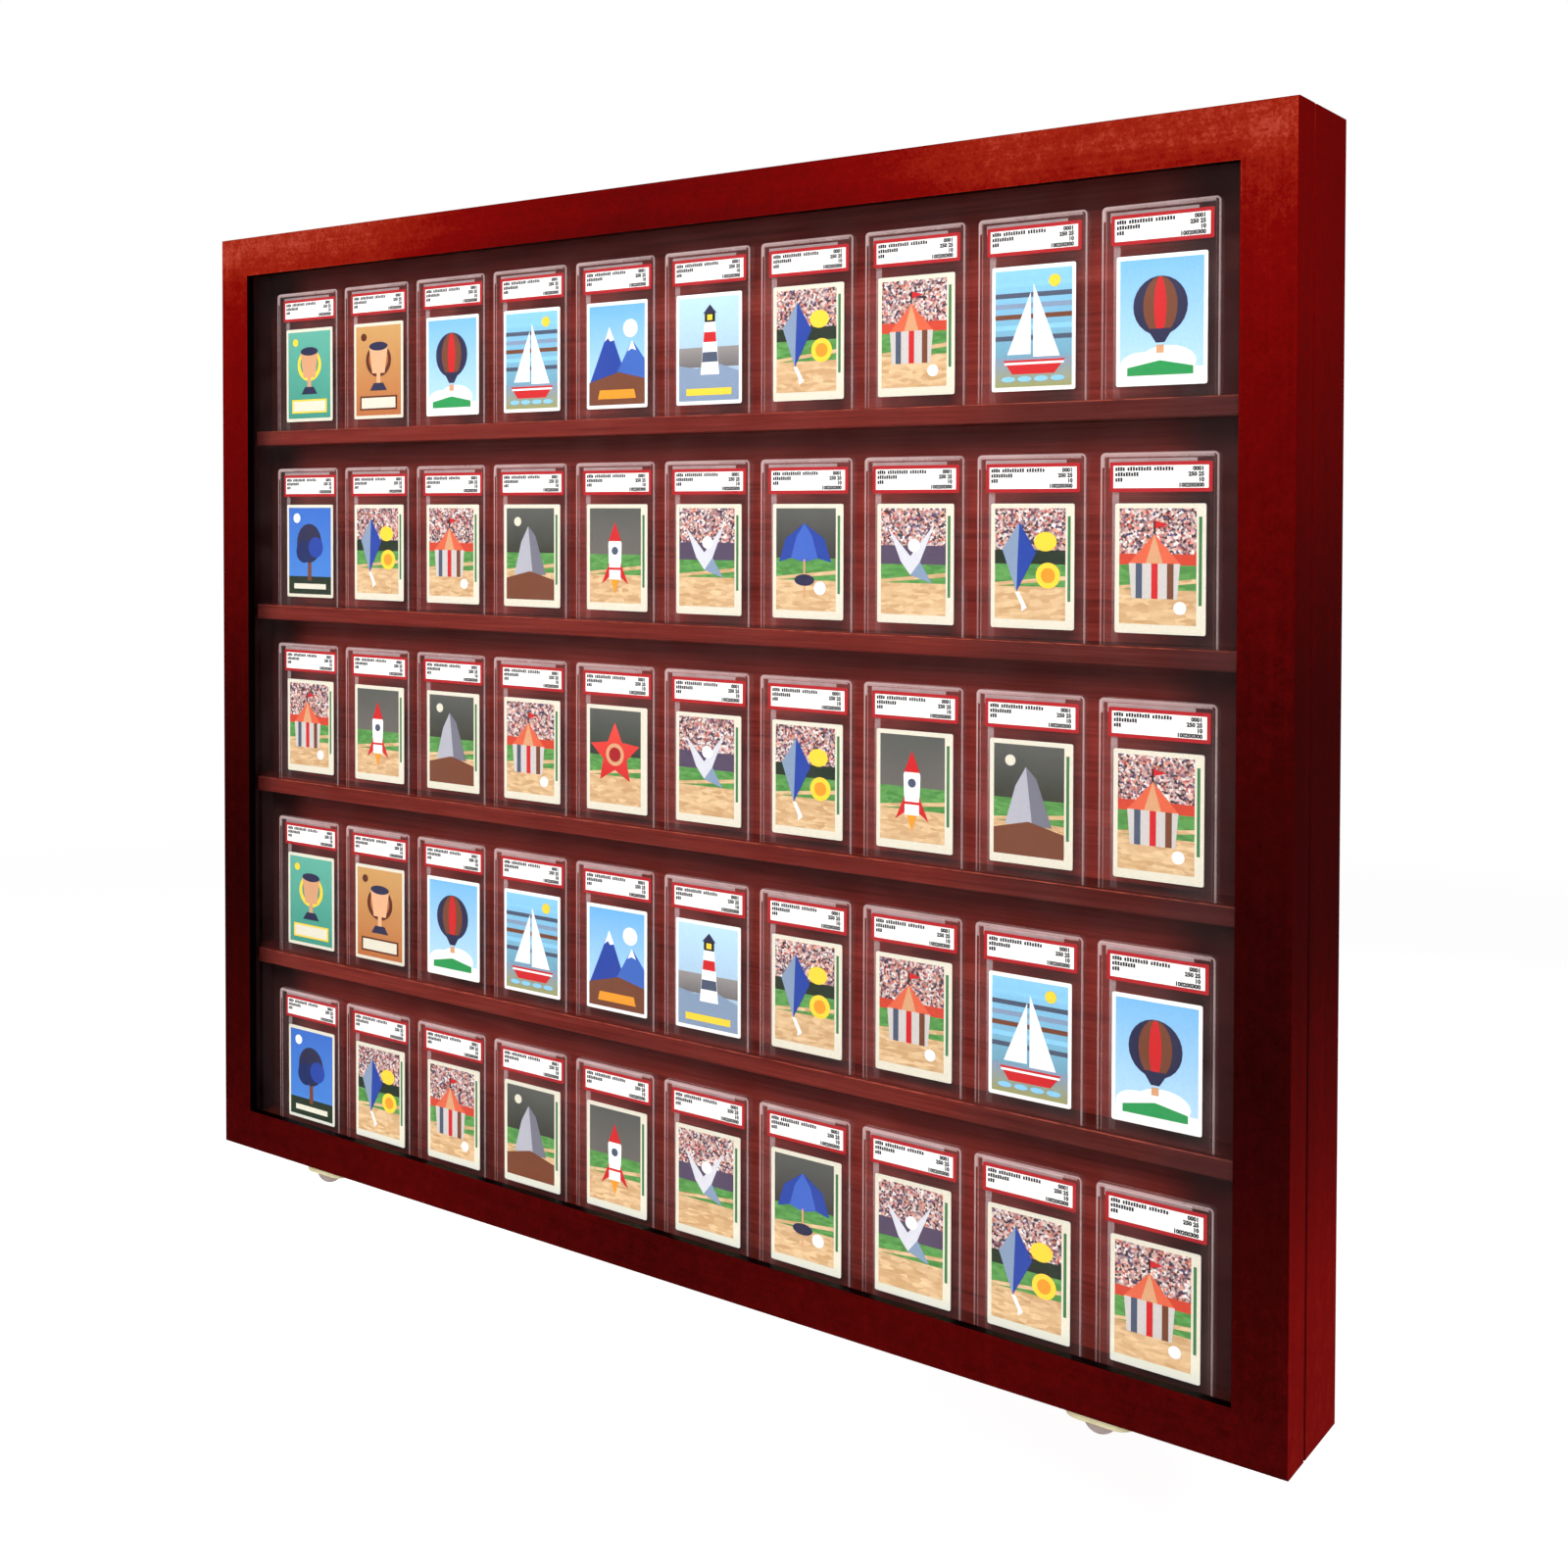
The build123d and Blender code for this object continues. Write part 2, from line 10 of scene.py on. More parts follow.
import bmesh
import bpy
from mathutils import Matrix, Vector


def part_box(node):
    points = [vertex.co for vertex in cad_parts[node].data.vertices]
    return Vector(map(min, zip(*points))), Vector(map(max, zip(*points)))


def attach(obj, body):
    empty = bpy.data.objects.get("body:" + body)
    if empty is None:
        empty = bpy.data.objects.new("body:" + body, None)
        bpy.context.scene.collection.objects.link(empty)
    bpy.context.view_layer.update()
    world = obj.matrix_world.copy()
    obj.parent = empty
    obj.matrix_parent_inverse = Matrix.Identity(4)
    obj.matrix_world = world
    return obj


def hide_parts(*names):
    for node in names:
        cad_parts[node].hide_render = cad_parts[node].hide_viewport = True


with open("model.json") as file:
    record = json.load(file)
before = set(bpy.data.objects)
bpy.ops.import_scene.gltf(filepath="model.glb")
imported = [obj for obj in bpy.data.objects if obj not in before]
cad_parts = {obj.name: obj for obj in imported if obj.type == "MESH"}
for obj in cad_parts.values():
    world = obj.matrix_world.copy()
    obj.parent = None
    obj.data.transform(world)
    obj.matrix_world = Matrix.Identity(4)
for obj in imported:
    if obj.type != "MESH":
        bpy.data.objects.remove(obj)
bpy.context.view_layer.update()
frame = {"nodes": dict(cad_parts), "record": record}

MM = 0.001
COLUMNS = 10

# Card holders and prints, in millimetres
SLAB_WIDTH = 83.0
SLAB_HEIGHT = 136.5
SLAB_CORNER = 3.5
CARD_WIDTH = 63.5
CARD_HEIGHT = 88.9
CARD_DROP = 35.0
CARD_CORNER = 1.5
CARD_INSET = 0.1
LABEL_WIDTH = 71.6
LABEL_HEIGHT = 20.6
LABEL_DROP = 6.5
LABEL_BORDER = 2.6
PRINT_STEP = 0.03

# Places of the case and of the opening in its door
CASE_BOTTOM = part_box("case_left")[0].z
CASE_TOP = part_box("case_right")[1].z
CASE_HALF_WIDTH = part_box("case_right")[1].x
FACE_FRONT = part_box("door_face_top")[0].y
SIGHT_HALF_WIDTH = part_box("door_face_right")[0].x
SIGHT_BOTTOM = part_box("door_face_bottom")[1].z
SIGHT_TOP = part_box("door_face_top")[0].z
LOW_ROW_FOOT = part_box("cards_row_5")[0].z
SHELF_BOARDS = ("shelf_1", "shelf_2", "shelf_3", "shelf_4", "floor_board")
LOW_SHELF_TOP, FLOOR_BOARD_TOP = [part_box(board)[1].z for board in SHELF_BOARDS[-2:]]


def srgb(red, green, blue):
    """A colour given in 0-255 display values, as linear RGBA."""
    linear = [(value / 255) ** 2.2 for value in (red, green, blue)]
    return (*linear, 1.0)


# --- Node trees

class Nodes:
    """A material under construction."""

    def __init__(self, name):
        self.material = bpy.data.materials.new(name)
        self.material.use_nodes = True
        self.tree = self.material.node_tree
        self.tree.nodes.clear()

    def add(self, kind, settings=None, **inputs):
        """Adds a node. An input is a constant or a socket, and _ in its name stands for a space."""
        node = self.tree.nodes.new("ShaderNode" + kind)
        for key, value in (settings or {}).items():
            setattr(node, key, value)
        for key, value in inputs.items():
            self.plug(node.inputs[key.replace("_", " ")], value)
        return node

    def plug(self, socket, value):
        if isinstance(value, bpy.types.NodeSocket):
            self.tree.links.new(value, socket)
        else:
            socket.default_value = value

    def object_place(self):
        """The point's place in the row frame, in metres."""
        return self.add("TexCoord").outputs["Object"]

    def axes(self, vector):
        """The X, Y and Z of a vector, by name."""
        return self.add("SeparateXYZ", Vector=vector).outputs

    def tint(self, output="Fac"):
        """The tint that the mesh carries, as a share or as a Color."""
        return self.add("Attribute", {"attribute_name": "tint"}).outputs[output]

    def stretched(self, scale):
        """The point's place with each axis scaled."""
        return self.add("Mapping", Vector=self.object_place(), Scale=scale).outputs["Vector"]

    def noise(self, vector, scale, detail, roughness=0.55, distortion=0.0):
        """Smooth noise about 0.5."""
        node = self.add("TexNoise", Vector=vector, Scale=scale, Detail=detail)
        node.inputs["Roughness"].default_value = roughness
        node.inputs["Distortion"].default_value = distortion
        return node.outputs["Fac"]

    def math(self, operation, *values, clamp=False):
        node = self.add("Math", {"operation": operation, "use_clamp": clamp})
        for socket, value in zip(node.inputs, values):
            self.plug(socket, value)
        return node.outputs[0]

    def plus(self, first, second):
        return self.math("ADD", first, second)

    def minus(self, first, second):
        return self.math("SUBTRACT", first, second)

    def times(self, first, second, clamp=False):
        return self.math("MULTIPLY", first, second, clamp=clamp)

    def unsigned(self, value):
        return self.math("ABSOLUTE", value)

    def ranged(self, value, low, high, to_low=0.0, to_high=1.0):
        """A linear change of range, clamped."""
        node = self.add("MapRange", Value=value, From_Min=low, From_Max=high)
        node.inputs["To Min"].default_value = to_low
        node.inputs["To Max"].default_value = to_high
        return node.outputs[0]

    def ramp(self, value, stops):
        """A colour ramp. A stop is a place from 0 to 1, and a colour or a grey level."""
        node = self.add("ValToRGB", Fac=value)
        elements = node.color_ramp.elements
        while len(elements) < len(stops):
            elements.new(0.5)
        for element, (place, colour) in zip(elements, stops):
            element.position = place
            grey = isinstance(colour, float)
            element.color = (colour, colour, colour, 1.0) if grey else colour
        return node.outputs["Color"]

    def mixed(self, factor, first, second, blend="MIX"):
        """Two colours or grey levels, mixed."""
        node = self.add("Mix", {"data_type": "RGBA", "blend_type": blend})
        self.plug(node.inputs[0], factor)
        self.plug(node.inputs[6], first)
        self.plug(node.inputs[7], second)
        return node.outputs[2]

    def mixed_shaders(self, factor, first, second):
        node = self.add("MixShader", Fac=factor)
        self.plug(node.inputs[1], first)
        self.plug(node.inputs[2], second)
        return node.outputs[0]

    def bump(self, height, strength, distance):
        return self.add("Bump", Height=height, Strength=strength, Distance=distance).outputs["Normal"]

    def finish(self, shader):
        output = self.tree.nodes.new("ShaderNodeOutputMaterial")
        self.tree.links.new(shader, output.inputs["Surface"])
        return self.material

    def finish_solid(self, **inputs):
        """Finishes an opaque material with one principled shader."""
        return self.finish(self.add("BsdfPrincipled", **inputs).outputs[0])


# Spans of noise that are stretched to a wanted range: all but its extremes, and a narrower one
NOISE_SPAN = (0.3, 0.7)
NOISE_MIDDLE = (0.35, 0.65)

# --- Wood

# Noise cells per metre, across and along the fibres
FRAME_FIBRES = (420.0, 9.0)
FRAME_FIGURE = (34.0, 1.6)
INSIDE_FIBRES = (520.0, 12.0)
INSIDE_FIGURE = (90.0, 2.2)
HIGHLIGHT_FIBRES = (900.0, 60.0)
WOOD_BUMP = 0.2 * MM
FRAME_ROUGHNESS = (0.34, 0.50)
INSIDE_ROUGHNESS = (0.38, 0.52)

# Colours of the frame's stain, from the darkest to the brightest, picked by a tone that also paints light and
# shade
STAIN = [
    (0.0, srgb(33, 0, 0)),
    (0.25, srgb(54, 0, 0)),
    (0.5, srgb(84, 0, 0)),
    (0.7, srgb(103, 7, 1)),
    (0.85, srgb(126, 31, 17)),
    (0.92, srgb(143, 51, 37)),
    (1.0, srgb(156, 65, 53)),
]
# Painted light and shade on the frame's front and sides, as tones from the bottom (0) to the top (1): the
# front lighter towards the top and darkest about a quarter of the way up, the sides lighter at the bottom and
# the top
FRONT_LIGHT_TONES = [
    (0.0, 0.32), (0.12, 0.24), (0.28, 0.08), (0.4, 0.13),
    (0.7, 0.45), (0.85, 0.61), (0.95, 0.74), (0.98, 0.88),
]
SIDE_LIGHT_TONES = [
    (0.0, 0.69), (0.12, 0.66), (0.25, 0.41), (0.4, 0.22),
    (0.55, 0.21), (0.85, 0.56), (1.0, 0.57),
]
# Painted highlights and shade along each rail, as changes of tone from the left (0) to the right (1): the top
# rail lighter at both ends and darker in the middle, the bottom rail a little lighter a quarter and three
# quarters along
TOP_RAIL_SHEEN_TONES = [
    (0.0, 0.0), (0.2, 0.0), (0.36, -0.26), (0.5, -0.40),
    (0.64, -0.30), (0.8, -0.05), (1.0, -0.02),
]
BOTTOM_RAIL_LIGHT_TONES = [(0.0, 0.0), (0.25, 0.10), (0.5, 0.0), (0.75, 0.10), (1.0, 0.0)]
# A ramp holds no negative tone, so the changes are kept in it this much higher
TONE_SHIFT = 0.5

# Black that stands for shade, painted into the opening's edge and beside the parting of door and case
SHADOW_BLACK = srgb(10, 3, 4)
# The edge round the opening carries painted shade in black up to the first of these, and a painted highlight
# on its front corner up to the second
SHADE_REACH = 0.2 * MM
HIGHLIGHT_REACH = 1.0 * MM
HIGHLIGHT_GAIN = (1.5, 2.2, 2.4, 1.0)
# Painted shadow in black beside the parting of door and case, and the shares of the height where it fades out
# upwards
PARTING_MIDDLE = (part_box("door_top_rail")[1].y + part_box("case_top")[0].y) / 2
PARTING_SHADE = 1.9 * MM
PARTING_FADE = (0.30, 0.62)

# Painted shade: the walls are darkened inside, and so are the ends of the back panel and shelves, rising
# between these distances from the opening's sides, and set this far off centre
INSIDE_SHADE = srgb(58, 32, 32)
SIDE_SHADE_FROM = 50.0 * MM
SIDE_SHADE_TO = 22.0 * MM
SIDE_SHADE_SHIFT = 18.0 * MM
BACK_PANEL_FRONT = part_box("back_panel")[0].y
WALL_THICKNESS = 16.0 * MM
# A test of place reaches this far past a face, so that the face itself passes it
REACH = 0.5 * MM
# Half width, bottom and top of the space between the walls' inner faces
INNER_BOX = (
    CASE_HALF_WIDTH - WALL_THICKNESS + REACH,
    CASE_BOTTOM + WALL_THICKNESS - REACH,
    CASE_TOP - WALL_THICKNESS + REACH,
)
# Shade at the top of each bay, between these shares of the bay's height, and its greatest depth
BAY_SHADE = srgb(44, 24, 24)
BAY_SHADE_RISE = (0.62, 0.86)
BAY_SHADE_DEPTH = 0.66
# The upper front corner of each shelf carries a ragged painted highlight, which fades out between these
# distances from it
SHELF_HIGHLIGHT = srgb(182, 86, 68)
HIGHLIGHT_DOWNWARDS = (1.1 * MM, 0.6 * MM)
HIGHLIGHT_BACKWARDS = (0.4 * MM, 0.9 * MM)
HIGHLIGHT_DEPTH = 0.85
# The shelves grow darker between these places
RIGHT_SHADE_X = (0.255, 0.325)
RIGHT_SHADE_GAIN = (0.60, 0.78, 0.87, 1.0)


def grain(nodes, along, cells):
    """The place to read grain noise at: fine across the fibres and long along them."""
    across_cells, along_cells = cells
    scale = [across_cells] * 3
    scale["XYZ".index(along)] = along_cells
    return nodes.stretched(scale)


def frame_wood(name, along, rail_light_tones=None, sight_edge=False):
    """Red mahogany stain over fine straight grain, with painted light and shade over the frame: lighter
    towards the top, darker low down, and with tones of their own on the sides.

    A rail's tones, where given, paint highlights and shade along it. sight_edge is for the faces round the
    door's opening, which carry painted shade and a painted highlight.
    """
    nodes = Nodes(name)
    place = nodes.axes(nodes.object_place())
    height = nodes.ranged(place["Z"], CASE_BOTTOM, CASE_TOP)
    front_light = nodes.ramp(height, FRONT_LIGHT_TONES)
    if rail_light_tones:
        length = nodes.ranged(place["X"], -CASE_HALF_WIDTH, CASE_HALF_WIDTH)
        shifted = nodes.ramp(length, [(at, change + TONE_SHIFT) for at, change in rail_light_tones])
        front_light = nodes.minus(nodes.plus(front_light, shifted), TONE_SHIFT)
    side_light = nodes.ramp(height, SIDE_LIGHT_TONES)
    # Painted light: faces turned sideways take the sides' own tones of light and shade
    normal = nodes.axes(nodes.add("TexCoord").outputs["Normal"])
    sideways = nodes.ranged(nodes.unsigned(normal["X"]), 0.5, 0.9)
    tone = nodes.mixed(sideways, front_light, side_light)

    fibres = nodes.noise(grain(nodes, along, FRAME_FIBRES), 1.0, 5.0, 0.6)
    figure = nodes.noise(grain(nodes, along, FRAME_FIGURE), 1.0, 3.0, 0.5, distortion=0.8)
    mottle = nodes.noise(nodes.object_place(), 95.0, 7.0, 0.78)
    speckle = nodes.noise(nodes.object_place(), 520.0, 3.0, 0.6)
    clouds = nodes.noise(nodes.object_place(), 5.0, 3.0, 0.5)
    for pattern, depth in ((fibres, 0.14), (figure, 0.12), (mottle, 0.34), (speckle, 0.26), (clouds, 0.12)):
        tone = nodes.plus(tone, nodes.times(nodes.minus(pattern, 0.5), depth))
    colour = nodes.ramp(tone, STAIN)
    # Painted shade: black round the opening, or darkened walls inside
    if sight_edge:
        colour = shaded_sight_edge(nodes, place, colour)
    else:
        colour = darkened_inside(nodes, place, colour)
    # Painted shadow in black beside the parting of door and case, on faces turned sideways, fading out
    # upwards
    from_parting = nodes.unsigned(nodes.minus(place["Y"], PARTING_MIDDLE))
    beside = nodes.ranged(from_parting, PARTING_SHADE, 1.3 * PARTING_SHADE, to_low=1.0, to_high=0.0)
    low_down = nodes.ranged(height, *PARTING_FADE, to_low=1.0, to_high=0.0)
    outward = nodes.ranged(nodes.unsigned(normal["Y"]), 0.3, 0.7, to_low=1.0, to_high=0.0)
    colour = nodes.mixed(nodes.times(nodes.times(beside, low_down), outward), colour, SHADOW_BLACK)
    roughness = nodes.ranged(mottle, *NOISE_SPAN, *FRAME_ROUGHNESS)
    skin = nodes.bump(nodes.plus(fibres, nodes.times(mottle, 0.4)), 0.25, WOOD_BUMP)
    return nodes.finish_solid(Base_Color=colour, Roughness=roughness, Specular_IOR_Level=0.03, Normal=skin)


def beyond_opening(nodes, place, half_width, low, high):
    """How far a point lies outside an upright rectangle, negative inside it."""
    beside = nodes.minus(nodes.unsigned(place["X"]), half_width)
    above = nodes.minus(nodes.unsigned(nodes.minus(place["Z"], (low + high) / 2)), (high - low) / 2)
    return nodes.math("MAXIMUM", beside, above)


def shaded_sight_edge(nodes, place, colour):
    """Painted shade: the edge round the opening is black, with a painted highlight line on its front corner.
    """
    outside = beyond_opening(nodes, place, SIGHT_HALF_WIDTH, SIGHT_BOTTOM, SIGHT_TOP)
    near_edge = nodes.ranged(outside, SHADE_REACH, HIGHLIGHT_REACH, to_low=1.0, to_high=0.0)
    colour = nodes.mixed(near_edge, colour, HIGHLIGHT_GAIN, "MULTIPLY")
    return nodes.mixed(nodes.math("LESS_THAN", outside, SHADE_REACH), colour, SHADOW_BLACK)


def darkened_inside(nodes, place, colour):
    """Painted shade: the inner faces of the case's walls are darkened, as far back as the back panel."""
    within = nodes.math("LESS_THAN", beyond_opening(nodes, place, *INNER_BOX), 0.0)
    in_front = nodes.math("LESS_THAN", place["Y"], BACK_PANEL_FRONT)
    return nodes.mixed(nodes.times(within, in_front), colour, INSIDE_SHADE)


def interior_wood(name, dark, middle, light, side_shade_depth, bay_shade=False, highlight_edge=None):
    """The duller stain inside the case, with level grain, and painted shade towards both sides, as deep as
    given.

    The top of each bay may carry painted shade. A shelf's front edge, given as its Y and Z, carries a ragged
    painted highlight, and the shelf is then darker at its right.
    """
    nodes = Nodes(name)
    place = nodes.axes(nodes.object_place())
    fibres = nodes.noise(grain(nodes, "X", INSIDE_FIBRES), 1.0, 5.0, 0.65)
    figure = nodes.noise(grain(nodes, "X", INSIDE_FIGURE), 1.0, 4.0, 0.55, distortion=0.6)
    clouds = nodes.noise(nodes.object_place(), 4.0, 3.0)
    tone = nodes.plus(nodes.times(fibres, 0.45), nodes.times(figure, 0.4))
    tone = nodes.plus(tone, nodes.times(clouds, 0.15))
    colour = nodes.ramp(tone, [(0.36, dark), (0.5, middle), (0.64, light)])
    in_front = nodes.math("LESS_THAN", place["Y"], BACK_PANEL_FRONT + REACH)
    if bay_shade:
        above_floor = nodes.minus(place["Z"], FLOOR_BOARD_TOP)
        bay = nodes.math("FRACT", nodes.math("DIVIDE", above_floor, LOW_SHELF_TOP - FLOOR_BOARD_TOP))
        shade = nodes.ranged(bay, *BAY_SHADE_RISE, to_low=0.0, to_high=BAY_SHADE_DEPTH)
        colour = nodes.mixed(nodes.times(shade, in_front), colour, BAY_SHADE)
    # A ragged painted highlight on the shelf's upper front corner; the shelf then darkens towards its right
    if highlight_edge:
        edge_y, edge_z = highlight_edge
        worn = nodes.ranged(nodes.noise(grain(nodes, "X", HIGHLIGHT_FIBRES), 1.0, 4.0, 0.7), 0.40, 0.56)
        heights = [edge_z - down for down in HIGHLIGHT_DOWNWARDS]
        depths = [edge_y + back for back in HIGHLIGHT_BACKWARDS]
        high = nodes.ranged(place["Z"], *heights, to_low=0.0, to_high=HIGHLIGHT_DEPTH)
        forward = nodes.ranged(place["Y"], *depths, to_low=1.0, to_high=0.0)
        lit = nodes.times(nodes.times(high, forward), worn)
        to_right = nodes.ranged(place["X"], *RIGHT_SHADE_X)
        colour = nodes.mixed(to_right, colour, RIGHT_SHADE_GAIN, "MULTIPLY")
        colour = nodes.mixed(lit, colour, SHELF_HIGHLIGHT)
    # Painted shade towards both sides of the back panel and shelves
    off_centre = nodes.unsigned(nodes.plus(place["X"], SIDE_SHADE_SHIFT))
    aside = nodes.ranged(off_centre, SIGHT_HALF_WIDTH - SIDE_SHADE_FROM, SIGHT_HALF_WIDTH - SIDE_SHADE_TO)
    aside = nodes.times(nodes.times(aside, side_shade_depth), in_front)
    colour = nodes.mixed(aside, colour, INSIDE_SHADE)
    skin = nodes.bump(fibres, 0.3, WOOD_BUMP)
    roughness = nodes.ranged(figure, *NOISE_SPAN, *INSIDE_ROUGHNESS)
    return nodes.finish_solid(Base_Color=colour, Roughness=roughness, Specular_IOR_Level=0.15, Normal=skin)


# --- Glazing and plastic

# Milky whites. The first is the clear plastic's own cloudiness and also paints highlights on the holders'
# rims and edges; the second paints the highlight bands
MILK_AND_SHEEN_WHITE = (0.84, 0.62, 0.61, 1.0)
BAND_SHEEN_WHITE = (0.86, 0.72, 0.73, 1.0)
# Share of the light that a clear sheet reflects when seen head-on
HEAD_ON_SHINE = 0.034


def see_through(name, gloss_roughness, reflectance, milk_and_sheen_range, tinted=False, least_tint=None):
    """A clear sheet: light passes straight through but for a weak reflection and a little milky white.

    The range of milky white gives its least and most share, between which it drifts: the plastic's own
    cloudiness, and on the holders' rims and edges a painted highlight. It is a share of the mesh's tint where
    tinted is set. The sheet is clear where the tint is below least_tint.
    """
    nodes = Nodes(name)
    drift = nodes.noise(nodes.object_place(), 30.0, 3.0)
    milk_and_sheen_share = nodes.ranged(drift, *NOISE_MIDDLE, *milk_and_sheen_range)
    if tinted:
        tint = nodes.tint()
        milk_and_sheen_share = nodes.times(milk_and_sheen_share, tint, clamp=True)
        if least_tint:
            milk_and_sheen_share = nodes.times(milk_and_sheen_share, nodes.math("GREATER_THAN", tint, least_tint))
    grazing = nodes.math("POWER", nodes.add("LayerWeight", Blend=0.5).outputs["Facing"], 5.0)
    fresnel = nodes.ranged(grazing, 0.0, 1.0, HEAD_ON_SHINE, 1.0)
    shine = nodes.times(fresnel, reflectance, clamp=True)
    clear = nodes.add("BsdfTransparent").outputs[0]
    white = nodes.add("BsdfDiffuse", Color=MILK_AND_SHEEN_WHITE).outputs[0]
    gloss = nodes.add("BsdfGlossy", Roughness=gloss_roughness).outputs[0]
    return nodes.finish(nodes.mixed_shaders(shine, nodes.mixed_shaders(milk_and_sheen_share, clear, white), gloss))


def sheen_band(name):
    """Painted highlight in milky white on bands inside the holder, where moulded steps would catch the light;
    the mesh's tint says how strongly.
    """
    nodes = Nodes(name)
    drift = nodes.ranged(nodes.noise(nodes.object_place(), 60.0, 3.0), *NOISE_SPAN, 0.85, 1.15)
    sheen = nodes.times(nodes.tint(), drift, clamp=True)
    clear = nodes.add("BsdfTransparent").outputs[0]
    white = nodes.add("BsdfDiffuse", Color=BAND_SHEEN_WHITE).outputs[0]
    return nodes.finish(nodes.mixed_shaders(sheen, clear, white))


# --- Print and metal

# Painted light on the lowest row: its colours are raised by these gains at its foot, fading out over these
# millimetres
FOOT_LIGHT_GAINS = ((1.40, 25.0), (1.20, CARD_HEIGHT))
PAPER_SHADES = (0.90, 1.06)
# Noise cells per metre of brushed metal
BRUSHING = (300.0, 2600.0, 2600.0)
FINE_BUMP = 0.1 * MM


def paper_noise(nodes, low, high):
    """The slight unevenness of printed card."""
    return nodes.ranged(nodes.noise(nodes.object_place(), 900.0, 3.0, 0.7), *NOISE_SPAN, low, high)


def with_foot_light(nodes, colour):
    """Painted light: the lowest row's colours are raised towards its foot, where less light reaches it."""
    height = nodes.axes(nodes.object_place())["Z"]
    gains = []
    for gain, reach in FOOT_LIGHT_GAINS:
        gains.append(nodes.ranged(height, LOW_ROW_FOOT, LOW_ROW_FOOT + reach * MM, gain, 1.0))
    lighter = nodes.add("VectorMath", {"operation": "SCALE"})
    nodes.plug(lighter.inputs[0], colour)
    nodes.plug(lighter.inputs["Scale"], nodes.times(*gains))
    capped = nodes.add("VectorMath", {"operation": "MINIMUM"})
    nodes.plug(capped.inputs[0], lighter.outputs[0])
    nodes.plug(capped.inputs[1], (1.0, 1.0, 1.0))
    return capped.outputs[0]


def printed(name, roughness, colour=None):
    """Ink on coated card, in one colour or in the colours that the mesh carries."""
    nodes = Nodes(name)
    ink = colour or nodes.tint("Color")
    worn = nodes.mixed(1.0, ink, paper_noise(nodes, *PAPER_SHADES), "MULTIPLY")
    # Colours that the mesh carries get painted light at the foot of the lowest row
    if not colour:
        worn = with_foot_light(nodes, worn)
    skin = nodes.bump(paper_noise(nodes, 0.0, 1.0), 0.1, FINE_BUMP)
    return nodes.finish_solid(Base_Color=worn, Roughness=roughness, Specular_IOR_Level=0.2, Normal=skin)


def printed_pattern(name, cell_scale, stops, stretch=(1.0, 1.0, 1.0)):
    """A printed field of small irregular patches, such as a distant crowd, turf or earth."""
    nodes = Nodes(name)
    patches = nodes.add("TexVoronoi", Vector=nodes.stretched(stretch), Scale=cell_scale)
    shade = nodes.add("SeparateColor", Color=patches.outputs["Color"]).outputs[0]
    colour = nodes.ramp(shade, stops)
    soft = nodes.noise(nodes.object_place(), cell_scale * 0.35, 3.0)
    colour = nodes.mixed(nodes.ranged(soft, *NOISE_MIDDLE, 0.0, 0.35), colour, stops[0][1])
    # The pattern gets painted light at the foot of the lowest row
    return nodes.finish_solid(Base_Color=with_foot_light(nodes, colour), Roughness=0.45, Specular_IOR_Level=0.2)


def metal(name, colour, dark, metallic, roughness):
    """Satin plated metal with faint smudges."""
    nodes = Nodes(name)
    smudge = nodes.noise(nodes.object_place(), 160.0, 5.0, 0.6)
    brushed = nodes.noise(nodes.stretched(BRUSHING), 1.0, 3.0)
    shade = nodes.plus(nodes.times(smudge, 0.7), nodes.times(brushed, 0.3))
    tone = nodes.ramp(shade, [(0.3, dark), (0.7, colour)])
    rough = nodes.ranged(smudge, *NOISE_SPAN, roughness, roughness + 0.15)
    skin = nodes.bump(brushed, 0.1, FINE_BUMP)
    return nodes.finish_solid(Base_Color=tone, Roughness=rough, Metallic=metallic, Normal=skin)


# --- Meshes

# Straight steps of a round corner, and its least radius in millimetres
CORNER_STEPS = 4
LEAST_CORNER = 0.15


class Mesh:
    """Collects points and faces in metres, with a material number per face and a tint per point."""

    def __init__(self):
        self.points = []
        self.faces = []
        self.slots = []
        self.tints = []

    def add_points(self, points, tints):
        start = len(self.points)
        self.points.extend(points)
        self.tints.extend(tints)
        return start

    def add_face(self, corners, slot):
        self.faces.append(tuple(corners))
        self.slots.append(slot)

    def to_object(self, name, materials, tidy_normals=False):
        data = bpy.data.meshes.new(name)
        data.from_pydata(self.points, [], self.faces)
        for material in materials:
            data.materials.append(material)
        data.polygons.foreach_set("material_index", self.slots)
        tint = data.color_attributes.new("tint", "FLOAT_COLOR", "POINT")
        tint.data.foreach_set("color", [value for colour in self.tints for value in colour])
        if tidy_normals:
            shape = bmesh.new()
            shape.from_mesh(data)
            bmesh.ops.recalc_face_normals(shape, faces=shape.faces)
            shape.to_mesh(data)
            shape.free()
        data.update()
        item = bpy.data.objects.new(name, data)
        bpy.context.scene.collection.objects.link(item)
        return item


def rounded(width, height, radius, inset):
    """Points of a rectangle with round corners, anticlockwise from the bottom left, in millimetres."""
    turn = max(radius - inset, LEAST_CORNER)
    centres = (
        (inset + turn, inset + turn, 180),
        (width - inset - turn, inset + turn, 270),
        (width - inset - turn, height - inset - turn, 0),
        (inset + turn, height - inset - turn, 90),
    )
    points = []
    for u, v, start in centres:
        for step in range(CORNER_STEPS + 1):
            angle = math.radians(start + 90 * step / CORNER_STEPS)
            points.append((u + turn * math.cos(angle), v + turn * math.sin(angle)))
    return points


# --- Card holders

# Places in HOLDER_MATERIALS
CLEAR, RIM, LINE, EDGE, BAND, CORNER = range(6)
HALF_THICKNESS = 3.25
WINDOW_DEPTH = 2.45
